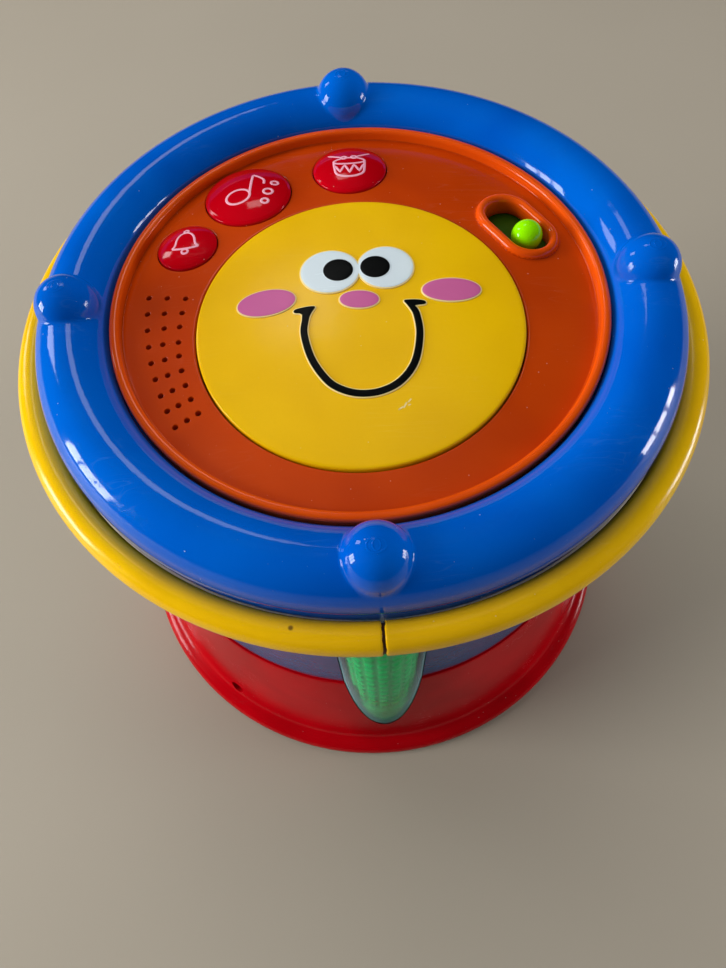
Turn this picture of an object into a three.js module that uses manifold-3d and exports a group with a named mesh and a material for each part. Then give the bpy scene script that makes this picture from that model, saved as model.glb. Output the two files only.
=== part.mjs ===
// Electronic drum pad: a round musical drum for small children.
// Millimetres, +Z up. Origin on the drum's axis, on the surface it stands on.
// The front of the drum (the mouth side of the smiling face) looks along -Y.
import * as THREE from 'three';
import { mergeVertices } from 'three/addons/utils/BufferGeometryUtils.js';
import Module from 'manifold-3d';

const wasm = await Module();
wasm.setup();

// ---------------------------------------------------------------- driving dimensions
const SEG = 40;                  // facets round the large rings
const GAP = 0.35;                // clearance between neighbouring parts

// red base
const BASE_LIP_R = 124.4;        // widest radius, at the floor
const BASE_TOP_R = 105;          // radius of the skirt's upper edge
const BASE_TOP_Z = 72;           // height of the skirt's upper edge
const BASE_FOOT_R = 116.5;       // radius of the skirt where it meets the lip
const BASE_FOOT_Z = 9;
const BASE_WALL = 2.4;
const FLOOR_T = 3;               // thickness of the base's floor

// blue body
const BODY_R = 104;
const BODY_WALL = 2.2;
const BODY_BOTTOM_Z = BASE_TOP_Z + GAP;
const BODY_FLANGE_Z = 178;       // underside of the flange that carries the rings
const BODY_FLANGE_T = 2.4;
const BODY_FLANGE_R = 109.4;

// light columns, one under each ball
const COLUMN_CENTRE_R = 95.5;
const COVER_R = 18;              // clear outer tube
const COVER_WALL = 1.4;
const COLUMN_R = 15.3;           // ribbed green tube
const COLUMN_WALL = 1.8;
const COLUMN_BOTTOM_Z = 12.2;
const COLUMN_TOP_Z = 177.4;
const BAY_R = COVER_R + 0.4;

// yellow bumper ring
const BUMPER_R = 115;
const BUMPER_TUBE_R = 5;
const BUMPER_Z = 183.5;
const BUMPER_SPLIT_DEG = -89.8;
const BUMPER_SPLIT_W = 0.6;

// blue top ring with four balls
const RING_R = 97.4;
const RING_TUBE_R = 12.5;
const RING_Z = 192;
const RING_WALL = 2.4;
const BALL_R = 10.55;
const BALL_CENTRE_R = 97.3;
const BALL_Z = 200.8;

// domed head
const HEAD_CURVE_R = 560;        // radius of the head's gentle dome
const HEAD_EDGE_R = 81;          // foot of the raised lip
const HEAD_EDGE_Z = 194;
const HEAD_T = 2.4;
const PANEL_R = 84.5;

// face pad
const PAD_X = 0.12;
const PAD_Y = -12.8;             // the pad's centre lies forward of the drum's axis
const PAD_R = 54.5;
const PAD_PROUD = 0.8;
const PAD_HOLE_R = 55;
const WELL_R = 57.2;             // outer radius of the well that the pad sinks into
const WELL_FLOOR_Z = 186;        // top of the well's floor
const WELL_FLOOR_T = 2;
const PAD_TRAVEL = 2;
const PAD_SPRING_R = 38;

// buttons: centre x, y and radius
const BIG_BUTTON = [-38.12, 51.38, 16.1];
const MEDIUM_BUTTON = [0.34, 61.4, 13.8];
const SMALL_BUTTON = [-59.61, 27.63, 10.85];
const BUTTON_DOME = 3.4;         // height of the domed cap over the panel
const BUTTON_TRAVEL = 1.6;

// slide switch slot
const SLOT_X = 58.38;
const SLOT_Y = 26.59;
const SLOT_DEG = -58.1;
const SLOT_HALF = 6;             // half the distance between the end centres
const SLOT_R = 7.3;
const SLOT_LIP_W = 3.6;
const SLOT_LIP_H = 2;
const KNOB_R = 5.5;
const KNOB_AT = 5.2;             // the knob rests towards the outer end of the slot
const SLIDER_Z = 189.4;

// electronics
const PCB_Z = 175.6;
const PCB_T = 1.6;
const SPEAKER_X = -47.2;
const SPEAKER_Y = -22;

// screws
const SCREW_R = 98;
const SCREW_AZIMUTHS = [45, 135, 225, 315];

// speaker holes: nine rows of three, x and y, outer to inner
const SPEAKER_HOLE_R = 0.95;
const SPEAKER_HOLES = [
  [-72.14, 6.26], [-65.45, 4.89], [-58.87, 3.52],
  [-72.11, -0.94], [-66.02, -1.71], [-59.73, -2.57],
  [-71.59, -7.95], [-65.69, -8.11], [-60.29, -8.37],
  [-70.66, -14.96], [-65.76, -14.71], [-60.36, -14.77],
  [-69.33, -21.68], [-64.72, -21.02], [-59.92, -20.27],
  [-67.5, -28.19], [-63.39, -27.24], [-58.78, -26.19],
  [-65.37, -34.72], [-61.55, -33.26], [-57.24, -32.0],
  [-62.93, -40.64], [-59.31, -39.08], [-55.29, -37.42],
  [-60.09, -46.77], [-56.37, -44.81], [-52.75, -42.85],
];

// ---------------------------------------------------------------- colours
const finish = (color, roughness = 0.3, metalness = 0) =>
  new THREE.MeshStandardMaterial({ color, roughness, metalness });
const RED = finish('#b01224', 0.22);
const BLUE = finish('#0046b4', 0.2);
const ORANGE = finish('#d2501a', 0.28);
const YELLOW = finish('#e8bc06', 0.28);
const BUMPER_YELLOW = finish('#e0b010', 0.35);
const BUTTON_RED = finish('#b41520', 0.2);
const LIME = finish('#7fd00a', 0.2);
const GREEN = finish('#0fae55', 0.25);
const CLEAR = finish('#cfe3ee', 0.08);
const BLACK = finish('#1c1c1e', 0.6);
const STEEL = finish('#b8bcc0', 0.3, 1);
const BOARD = finish('#1f6b3a', 0.5);
const PAPER = finish('#2a2826', 0.9);
const WHITE = finish('#e8e8e4', 0.4);
const CELL = finish('#3c4a58', 0.4, 0.3);

// ---------------------------------------------------------------- geometry helpers
// Merge shared corners, drop slivers and make a solid with outward faces.
function solid(geometry) {
  const g = geometry.clone();
  g.deleteAttribute('normal');
  g.deleteAttribute('uv');
  const m = mergeVertices(g, 1e-4);
  const p = m.attributes.position;
  const idx = m.index.array;
  const tris = [];
  let volume = 0;
  const a = new THREE.Vector3(), b = new THREE.Vector3(), c = new THREE.Vector3();
  for (let i = 0; i < idx.length; i += 3) {
    const [i0, i1, i2] = [idx[i], idx[i + 1], idx[i + 2]];
    if (i0 === i1 || i1 === i2 || i2 === i0) continue;
    tris.push(i0, i1, i2);
    a.fromBufferAttribute(p, i0); b.fromBufferAttribute(p, i1); c.fromBufferAttribute(p, i2);
    volume += a.dot(b.cross(c));
  }
  if (volume < 0) for (let i = 0; i < tris.length; i += 3) [tris[i], tris[i + 1]] = [tris[i + 1], tris[i]];
  return new wasm.Manifold(new wasm.Mesh({
    numProp: 3,
    vertProperties: new Float32Array(p.array),
    triVerts: new Uint32Array(tris),
  }));
}

function geometryOf(manifold) {
  const mesh = manifold.getMesh();
  const g = new THREE.BufferGeometry();
  const v = new Float32Array((mesh.vertProperties.length / mesh.numProp) * 3);
  for (let i = 0, n = v.length / 3; i < n; i++)
    for (let k = 0; k < 3; k++) v[i * 3 + k] = mesh.vertProperties[i * mesh.numProp + k];
  g.setAttribute('position', new THREE.BufferAttribute(v, 3));
  g.setIndex(new THREE.BufferAttribute(new Uint32Array(mesh.triVerts), 1));
  g.computeVertexNormals();
  return g;
}

// Turned body about a vertical axis at (x, y); profile is a list of [radius, height].
function turned(profile, segments = SEG, x = 0, y = 0) {
  const g = new THREE.LatheGeometry(profile.map(([r, z]) => new THREE.Vector2(r, z)), segments);
  g.rotateX(Math.PI / 2);
  g.translate(x, y, 0);
  return g;
}

function cylinder(r, z0, z1, x = 0, y = 0, segments = 24) {
  return turned([[0, z0], [r, z0], [r, z1], [0, z1]], segments, x, y);
}

function tube(rOut, rIn, z0, z1, x = 0, y = 0, segments = 24) {
  return turned([[rIn, z0], [rOut, z0], [rOut, z1], [rIn, z1], [rIn, z0]], segments, x, y);
}

function box(x0, x1, y0, y1, z0, z1) {
  const g = new THREE.BoxGeometry(x1 - x0, y1 - y0, z1 - z0);
  g.translate((x0 + x1) / 2, (y0 + y1) / 2, (z0 + z1) / 2);
  return g;
}

function stadiumShape(half, r, arc = 8) {
  const s = new THREE.Shape();
  for (let i = 0; i <= arc; i++) {
    const t = -Math.PI / 2 + (Math.PI * i) / arc;
    const px = half + r * Math.cos(t), py = r * Math.sin(t);
    if (i === 0) s.moveTo(px, py); else s.lineTo(px, py);
  }
  for (let i = 0; i <= arc; i++) {
    const t = Math.PI / 2 + (Math.PI * i) / arc;
    s.lineTo(-half + r * Math.cos(t), r * Math.sin(t));
  }
  s.closePath();
  return s;
}

function stadium(half, r, z0, z1, arc = 8) {
  const g = new THREE.ExtrudeGeometry(stadiumShape(half, r, arc), { depth: z1 - z0, bevelEnabled: false, curveSegments: 1 });
  g.translate(0, 0, z0);
  return g;
}

const rad = (deg) => (deg * Math.PI) / 180;
const headZ = (x, y) => HEAD_EDGE_Z + (HEAD_EDGE_R ** 2 - x * x - y * y) / (2 * HEAD_CURVE_R);

// Lean a geometry so that level planes follow the head's slope at (x0, y0).
function followHead(geometry, x0, y0) {
  const p = geometry.attributes.position;
  for (let i = 0; i < p.count; i++) {
    const dx = p.getX(i) - x0, dy = p.getY(i) - y0;
    p.setZ(i, p.getZ(i) - (x0 * dx + y0 * dy) / HEAD_CURVE_R);
  }
  return geometry;
}

const atSlot = (g) => { g.rotateZ(rad(SLOT_DEG)); g.translate(SLOT_X, SLOT_Y, 0); return g; };

const drum = new THREE.Group();
function add(name, geometry, material) {
  const mesh = new THREE.Mesh(geometry, material);
  mesh.name = name;
  drum.add(mesh);
  return mesh;
}
const addSolid = (name, manifold, material) => add(name, geometryOf(manifold), material);

const columnCentres = [
  ['front', 0, -COLUMN_CENTRE_R], ['right', COLUMN_CENTRE_R, 0],
  ['back', 0, COLUMN_CENTRE_R], ['left', -COLUMN_CENTRE_R, 0],
];
const screwCentres = SCREW_AZIMUTHS.map((d) => [SCREW_R * Math.cos(rad(d)), SCREW_R * Math.sin(rad(d))]);

// ---------------------------------------------------------------- red base
const skirtR = (z) => BASE_FOOT_R + ((BASE_TOP_R - BASE_FOOT_R) * (z - BASE_FOOT_Z)) / (BASE_TOP_Z - BASE_FOOT_Z);
const baseOutside = [
  [0, 0], [BASE_LIP_R - 1, 0], [BASE_LIP_R, 1], [BASE_LIP_R - 0.2, 3.4], [BASE_LIP_R - 2.2, 6],
  [BASE_FOOT_R + 1.6, 7.6], [BASE_FOOT_R, BASE_FOOT_Z], [skirtR(40), 40], [BASE_TOP_R, BASE_TOP_Z],
];
const DOOR_X = 29, DOOR_Y0 = -23.2, DOOR_Y1 = 34;
{
  const outside = solid(turned([...baseOutside, [0, BASE_TOP_Z]]));
  let base = solid(turned([
    ...baseOutside,
    [BASE_TOP_R - 1.6, BASE_TOP_Z], [skirtR(40) - BASE_WALL, 40],
    [BASE_FOOT_R - BASE_WALL, BASE_FOOT_Z + 2], [BASE_FOOT_R - BASE_WALL, FLOOR_T], [0, FLOOR_T],
  ]));
  // sockets that hold the feet of the light columns
  for (const [, x, y] of columnCentres)
    base = base.add(solid(cylinder(BAY_R + 2, 9.6, BASE_TOP_Z, x, y, 24)).intersect(outside));
  for (const [, x, y] of columnCentres)
    base = base.subtract(solid(cylinder(BAY_R, 11.8, BASE_TOP_Z + 1, x, y, 24)));
  // screw bosses with deep counterbores
  for (const [x, y] of screwCentres) {
    base = base.add(solid(cylinder(6.2, 1, 30, x, y, 10)));
    base = base.subtract(solid(cylinder(4, -1, 22, x, y, 10)));
    base = base.subtract(solid(cylinder(1.9, 20, 31, x, y, 8)));
  }
  // battery opening
  base = base.subtract(solid(box(-DOOR_X - GAP, DOOR_X + GAP, DOOR_Y0 - GAP, DOOR_Y1 + GAP, -1, FLOOR_T + 1)));
  // round hole low in the skirt, front left
  const hole = new THREE.CylinderGeometry(2.9, 2.9, 14, 16);
  hole.rotateZ(Math.PI / 2);
  hole.rotateY(rad(-12));
  hole.translate(115.5, 0, 12.5);
  hole.rotateZ(rad(-129.6));
  base = base.subtract(solid(hole));
  addSolid('base_shell', base, RED);
}

// ---------------------------------------------------------------- battery compartment
{
  let bx = solid(box(-31, 31, -25.2, 25.2, FLOOR_T + GAP, 22.2));
  bx = bx.add(solid(cylinder(4.2, FLOOR_T + GAP, 14, 0, 29, 16)));
  bx = bx.add(solid(box(-2, 2, 24, 28, FLOOR_T + GAP, 14)));
  bx = bx.subtract(solid(box(-29.2, 29.2, -23.4, 23.4, FLOOR_T - 1, 20.6)));
  bx = bx.subtract(solid(cylinder(1.5, FLOOR_T - 1, 12, 0, 29, 12)));
  addSolid('battery_box', bx, BLACK);

  let door = solid(box(-DOOR_X, DOOR_X, DOOR_Y0, DOOR_Y1, 0.4, 2.7));
  door = door.subtract(solid(cylinder(3.3, 0, 1.7, 0, 29, 16)));
  door = door.subtract(solid(cylinder(1.5, 0, 4, 0, 29, 12)));
  // finger ribs
  for (const y of [-18, -15, -12]) door = door.subtract(solid(box(-12, 12, y - 0.6, y + 0.6, 0, 0.9)));
  addSolid('battery_door', door, RED);
  add('battery_door_screw', turned([[0, 0.6], [2.8, 0.6], [2.8, 1.4], [1.2, 1.4], [1.2, 11], [0, 11.6]], 12, 0, 29), STEEL);

  for (let i = 0; i < 3; i++) {
    const g = turned([[0, -25], [7.1, -25], [7.1, 24], [2.8, 24], [2.7, 25.2], [0, 25.2]], 12);
    g.rotateY(i === 1 ? -Math.PI / 2 : Math.PI / 2);
    g.translate(0, -15.2 + i * 15.2, 11.8);
    add(`battery_${i + 1}`, g, CELL);
  }
  // contact strips: a flat strip with three raised contacts at each end
  for (const [name, side] of [['battery_contact_left', -1], ['battery_contact_right', 1]]) {
    let strip = solid(box(-0.25, 0.25, -22.6, 22.6, 5.5, 18.5));
    for (let i = 0; i < 3; i++) {
      const c = turned([[0, -0.2], [3.4, -0.2], [2, 2.2], [0, 2.2]], 8);
      c.rotateY(-Math.PI / 2);
      c.translate(0, -15.2 + i * 15.2, 11.8);
      strip = strip.add(solid(c));
    }
    const g = geometryOf(strip);
    if (side < 0) g.rotateZ(Math.PI);
    g.translate(side * 28.6, 0, 0);
    add(name, g, STEEL);
  }
}

// ---------------------------------------------------------------- blue body
{
  const ri = BODY_R - BODY_WALL;
  let body = solid(turned([
    [ri, BODY_BOTTOM_Z], [BODY_R, BODY_BOTTOM_Z], [BODY_R, BODY_FLANGE_Z], [BODY_FLANGE_R, BODY_FLANGE_Z],
    [BODY_FLANGE_R, BODY_FLANGE_Z + BODY_FLANGE_T], [ri, BODY_FLANGE_Z + BODY_FLANGE_T], [ri, BODY_BOTTOM_Z],
  ]));
  const within = solid(cylinder(BODY_R, BODY_BOTTOM_Z, BODY_FLANGE_Z + 0.6, 0, 0, SEG));
  for (const [, x, y] of columnCentres)
    body = body.add(solid(cylinder(BAY_R + 2, BODY_BOTTOM_Z, BODY_FLANGE_Z + 0.6, x, y, 24)).intersect(within));
  for (const [, x, y] of columnCentres)
    body = body.subtract(solid(cylinder(BAY_R, BODY_BOTTOM_Z - 1, COLUMN_TOP_Z + 0.3, x, y, 24)));
  for (const [x, y] of screwCentres) {
    body = body.add(solid(cylinder(5, 30 + GAP, 110, x, y, 10)));
    body = body.subtract(solid(cylinder(1.6, 29, 46, x, y, 8)));
  }
  addSolid('body_shell', body, BLUE);
  screwCentres.forEach(([x, y], i) => add(`housing_screw_${i + 1}`,
    turned([[0, 19.2], [3.5, 19.2], [3.5, 21.7], [1.3, 21.7], [1.3, 42], [0, 43]], 8, x, y), STEEL));
}

// ---------------------------------------------------------------- light columns
for (const [side, x, y] of columnCentres) {
  add(`column_cover_${side}`, tube(COVER_R, COVER_R - COVER_WALL, COLUMN_BOTTOM_Z, COLUMN_TOP_Z, x, y, 20), CLEAR);
  add(`light_column_${side}`, tube(COLUMN_R, COLUMN_R - COLUMN_WALL, COLUMN_BOTTOM_Z, COLUMN_TOP_Z, x, y, 16), GREEN);
  add(`led_board_${side}`, cylinder(12.6, COLUMN_BOTTOM_Z, COLUMN_BOTTOM_Z + 1.6, x, y, 10), BOARD);
  add(`led_${side}`, turned([[0, 14.1], [2.9, 14.1], [2.9, 15.1], [2.5, 15.1], [2.5, 20], [0, 22.4]], 8, x, y), WHITE);
}

// ---------------------------------------------------------------- yellow bumper ring, split at the front
{
  const pts = [];
  for (let i = 0; i <= 8; i++) {
    const t = (2 * Math.PI * i) / 8;
    pts.push([BUMPER_R + BUMPER_TUBE_R * Math.cos(t), BUMPER_Z + BUMPER_TUBE_R * Math.sin(t)]);
  }
  pts[8] = pts[0];
  const cut = box(100, 130, -BUMPER_SPLIT_W / 2, BUMPER_SPLIT_W / 2, 170, 200);
  cut.rotateZ(rad(BUMPER_SPLIT_DEG));
  addSolid('bumper_ring', solid(turned(pts, 48)).subtract(solid(cut)), BUMPER_YELLOW);
}

// ---------------------------------------------------------------- blue top ring with four balls
{
  const at = (r, deg) => [RING_R + r * Math.cos(rad(deg)), RING_Z + r * Math.sin(rad(deg))];
  const inner = RING_TUBE_R - RING_WALL;
  const seat = BODY_FLANGE_Z + BODY_FLANGE_T + GAP;
  const profile = [[109.6, seat], at(RING_TUBE_R, -13)];
  for (let i = 1; i < 8; i++) profile.push(at(RING_TUBE_R, -13 + (207 * i) / 8));
  profile.push(at(RING_TUBE_R, 194), [80.6, 188.9], [80.6, 186.5], [89.1, 186.5]);
  for (let i = 1; i < 5; i++) profile.push(at(inner, 213 - (230 * i) / 5));
  profile.push([107.3, 188.4], [107.3, seat], [109.6, seat]);
  let ring = solid(turned(profile, SEG));
  for (let k = 0; k < 4; k++) {
    const ball = new THREE.SphereGeometry(BALL_R, 12, 8);
    ball.rotateX(Math.PI / 2);
    ball.translate(BALL_CENTRE_R, 0, BALL_Z);
    ball.rotateZ((k * Math.PI) / 2);
    ring = ring.add(solid(ball));
  }
  addSolid('top_ring', ring, BLUE);
}

// ---------------------------------------------------------------- orange head panel
const headR = [0, 44, 62, 72, 80.2];
{
  const z = (r) => headZ(r, 0);
  const profile = headR.map((r) => [r, z(r)]);
  profile.push([81.3, 196], [82.6, 197.7], [84.1, 197.2], [PANEL_R, 195.4], [PANEL_R, 189.25],
    [81.6, 189.25], [81.2, z(81) - HEAD_T - 0.6]);
  for (const r of [...headR].reverse()) if (r < 79) profile.push([r, z(r) - HEAD_T]);
  let panel = solid(turned(profile));
  // speaker sound wall and pad well
  panel = panel.add(solid(cylinder(27.4, 178.4, 192, SPEAKER_X, SPEAKER_Y, 20)));
  panel = panel.add(solid(cylinder(WELL_R, WELL_FLOOR_Z - WELL_FLOOR_T, 195, PAD_X, PAD_Y, 36)));
  const pocket = solid(cylinder(25.4, 170, 191.4, SPEAKER_X, SPEAKER_Y, 20));
  const well = solid(cylinder(WELL_R, WELL_FLOOR_Z - WELL_FLOOR_T, 210, PAD_X, PAD_Y, 36));
  panel = panel.subtract(pocket.subtract(well));
  panel = panel.subtract(solid(cylinder(PAD_HOLE_R, WELL_FLOOR_Z, 210, PAD_X, PAD_Y, 36)));
  // button holes
  for (const [x, y, r] of [BIG_BUTTON, MEDIUM_BUTTON, SMALL_BUTTON])
    panel = panel.subtract(solid(cylinder(r + 0.4, 188, 205, x, y, 20)).subtract(well));
  // slot with its raised lip
  const lip = atSlot(stadium(SLOT_HALF, SLOT_R + SLOT_LIP_W, -4, SLOT_LIP_H - 0.9));
  const crest = atSlot(stadium(SLOT_HALF, SLOT_R + SLOT_LIP_W - 1.1, -4, SLOT_LIP_H));
  const slotZ = headZ(SLOT_X, SLOT_Y);
  for (const g of [lip, crest]) { g.translate(0, 0, slotZ); followHead(g, SLOT_X, SLOT_Y); panel = panel.add(solid(g)); }
  panel = panel.subtract(solid(atSlot(stadium(SLOT_HALF, SLOT_R, 188, 205))));
  // speaker holes
  for (const [x, y] of SPEAKER_HOLES) panel = panel.subtract(solid(cylinder(SPEAKER_HOLE_R, 190, 205, x, y, 5)));
  addSolid('head_panel', panel, ORANGE);
}

// ---------------------------------------------------------------- yellow face pad
{
  const R = PAD_R, q = (r) => -(r * r) / (2 * HEAD_CURVE_R);
  const top = headZ(0, PAD_Y) + PAD_PROUD;
  const g = turned([
    [0, top], [20, top + q(20)], [38, top + q(38)], [R - 0.8, top + q(R - 0.8)], [R, top + q(R) - 0.8],
    [R, 191.5], [R - 2, 191.5], [R - 2, top + q(R) - 3.4], [38, top + q(38) - 3], [5, top + q(5) - 3], [5, 191.4], [0, 191.4],
  ], 36);
  followHead(g, 0, 0);
  const p = g.attributes.position;
  for (let i = 0; i < p.count; i++) if (p.getZ(i) > 194) p.setZ(i, p.getZ(i) - (PAD_Y * p.getY(i)) / HEAD_CURVE_R);
  g.translate(PAD_X, PAD_Y, 0);
  addSolid('face_pad', solid(g), YELLOW);
}

// three return springs under the pad
class Helix extends THREE.Curve {
  constructor(r, h, turns) { super(); Object.assign(this, { r, h, turns }); }
  getPoint(t, out = new THREE.Vector3()) {
    const a = t * this.turns * 2 * Math.PI;
    return out.set(this.r * Math.cos(a), this.r * Math.sin(a), this.h * t);
  }
}
[90, 210, 330].forEach((deg, i) => {
  const x = PAD_X + PAD_SPRING_R * Math.cos(rad(deg)), y = PAD_Y + PAD_SPRING_R * Math.sin(rad(deg));
  const wire = new THREE.Shape();
  for (let k = 0; k < 4; k++) {
    const t = (2 * Math.PI * k) / 4;
    if (k === 0) wire.moveTo(0.45, 0); else wire.lineTo(0.45 * Math.cos(t), 0.45 * Math.sin(t));
  }
  wire.closePath();
  const g = new THREE.ExtrudeGeometry(wire, { steps: 28, bevelEnabled: false, extrudePath: new Helix(3.6, 7.6, 3.5) });
  g.translate(x, y, WELL_FLOOR_Z + 0.8);
  addSolid(`pad_spring_${i + 1}`, solid(g), STEEL);
});
add('pad_switch', turned([[0, 186.3], [6, 186.3], [6, 188], [3.4, 188.4], [0, 189.1]], 16, PAD_X, PAD_Y), BLACK);

// ---------------------------------------------------------------- buttons
for (const [name, [x, y, r]] of [['big_button', BIG_BUTTON], ['medium_button', MEDIUM_BUTTON], ['small_button', SMALL_BUTTON]]) {
  const base = headZ(x, y);
  const profile = [[0, base + BUTTON_DOME]];
  for (let i = 1; i <= 4; i++) {
    const s = i / 4;
    profile.push([r * s, base + 0.5 + (BUTTON_DOME - 0.5) * (1 - s ** 2.2)]);
  }
  profile.push([r, base - 3.2], [r - 2, base - 3.2], [r - 2, base - 1.4], [3, base - 1.4]);
  const g = followHead(turned(profile.concat([[0, base - 1.4]]), 20, x, y), x, y);
  const stem = cylinder(3, PCB_Z + PCB_T + 5.3, base, x, y, 12);
  addSolid(name, solid(g).add(solid(stem)), BUTTON_RED);
  add(`${name}_switch`, turned([[0, PCB_Z + PCB_T + 0.3], [4, PCB_Z + PCB_T + 0.3], [4, PCB_Z + PCB_T + 2.6],
    [1.8, PCB_Z + PCB_T + 2.6], [1.8, PCB_Z + PCB_T + 3.4], [0, PCB_Z + PCB_T + 3.4]], 12, x, y), BLACK);
}

// ---------------------------------------------------------------- slider knob and its switch
{
  let slider = solid(stadium(17, 8.6, SLIDER_Z, SLIDER_Z + 1.4));
  slider = slider.add(solid(cylinder(2.4, SLIDER_Z - 3.6, 196, KNOB_AT, 0, 12)));
  const ball = new THREE.SphereGeometry(KNOB_R, 12, 8);
  ball.rotateX(Math.PI / 2);
  ball.translate(KNOB_AT, 0, 196.2);
  slider = slider.add(solid(ball));
  const g = geometryOf(slider);
  atSlot(g);
  add('slider_knob', g, LIME);
  let sw = solid(box(-11, 13, -4, 4, PCB_Z + PCB_T + 0.3, 185));
  sw = sw.subtract(solid(box(-9, 11, -2.9, 2.9, 182.6, 186)));
  const s = geometryOf(sw);
  atSlot(s);
  add('slide_switch', s, STEEL);
}

// ---------------------------------------------------------------- main board: a crescent under the buttons and the slider
{
  const s = new THREE.Shape();
  const n = 18, a0 = rad(13), a1 = rad(162);
  for (let i = 0; i <= n; i++) {
    const t = a0 + ((a1 - a0) * i) / n;
    if (i === 0) s.moveTo(73.6 * Math.cos(t), 73.6 * Math.sin(t)); else s.lineTo(73.6 * Math.cos(t), 73.6 * Math.sin(t));
  }
  for (let i = n; i >= 0; i--) {
    const t = a0 + ((a1 - a0) * i) / n;
    s.lineTo(36 * Math.cos(t), 36 * Math.sin(t));
  }
  s.closePath();
  const board = new THREE.ExtrudeGeometry(s, { depth: PCB_T, bevelEnabled: false });
  board.translate(0, 0, PCB_Z);
  addSolid('main_board', solid(board), BOARD);
}

// ---------------------------------------------------------------- speaker, facing the holes
{
  const x = SPEAKER_X, y = SPEAKER_Y;
  add('speaker_basket', turned([[12.4, 161], [13.6, 161], [24.2, 172.6], [25, 172.6], [25, 174.2], [23.2, 174.2], [12.4, 162.4], [12.4, 161]], 16, x, y), STEEL);
  add('speaker_magnet', turned([[0, 152], [14, 152], [14, 160.6], [0, 160.6]], 16, x, y), BLACK);
  add('speaker_cone', turned([[0, 166], [7, 165], [22.4, 175.6], [24.6, 175.2], [22.4, 176.6], [7, 166.2], [0, 167.6]], 16, x, y), PAPER);
}

export default drum;
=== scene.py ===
import math

import bmesh
import bpy
import numpy as np
from mathutils import Matrix, Vector
from mathutils.geometry import delaunay_2d_cdt


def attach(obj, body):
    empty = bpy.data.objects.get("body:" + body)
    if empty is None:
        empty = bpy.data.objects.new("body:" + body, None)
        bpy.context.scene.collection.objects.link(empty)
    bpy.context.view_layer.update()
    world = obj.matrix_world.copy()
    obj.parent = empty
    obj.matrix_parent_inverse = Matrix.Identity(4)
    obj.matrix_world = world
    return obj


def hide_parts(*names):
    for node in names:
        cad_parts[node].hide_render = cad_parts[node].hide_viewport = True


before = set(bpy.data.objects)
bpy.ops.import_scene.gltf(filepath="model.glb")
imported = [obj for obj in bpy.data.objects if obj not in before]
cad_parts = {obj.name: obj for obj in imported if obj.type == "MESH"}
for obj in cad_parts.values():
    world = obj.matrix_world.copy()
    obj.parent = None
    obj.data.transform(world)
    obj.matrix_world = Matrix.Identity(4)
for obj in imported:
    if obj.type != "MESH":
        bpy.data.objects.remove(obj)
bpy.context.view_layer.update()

scene = bpy.context.scene
MM = 0.001
rng = np.random.default_rng(7)


def rad(d):
    return d * math.pi / 180


# ------------------------------------------------------------------ camera
f_px = 727.0
yaw, roll = 0.01818803114136891, -0.07529001499199274
cam_data = bpy.data.cameras.new("camera")
cam = bpy.data.objects.new("camera", cam_data)
scene.collection.objects.link(cam)
look = Vector((-0.00827, 0.45467, -0.89062)).normalized()
right = Vector((0.99822, -0.04884, -0.03421))
right = (right - look * right.dot(look)).normalized()
up = right.cross(look).normalized()
turn = Matrix.Rotation(rad(-0.6), 4, "Z")
m = Matrix.Identity(4)
for i in range(3):
    m[i][0], m[i][1], m[i][2] = right[i], up[i], -look[i]
    m[i][3] = (0.0, -0.16961574, 0.38746025)[i]
cam.matrix_world = turn @ m
cam_data.sensor_fit = "AUTO"
cam_data.sensor_width = 36
cam_data.lens = f_px / 968 * 36
cam_data.clip_start = 0.01
cam_data.clip_end = 100
scene.camera = cam

scene.view_settings.view_transform = "Standard"
scene.view_settings.look = "None"


# ------------------------------------------------------------------ colours and materials
def lin(c):
    out = []
    for v in c:
        v = v / 255
        out.append(v / 12.92 if v <= 0.04045 else ((v + 0.055) / 1.055) ** 2.4)
    return (*out, 1.0)


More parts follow.
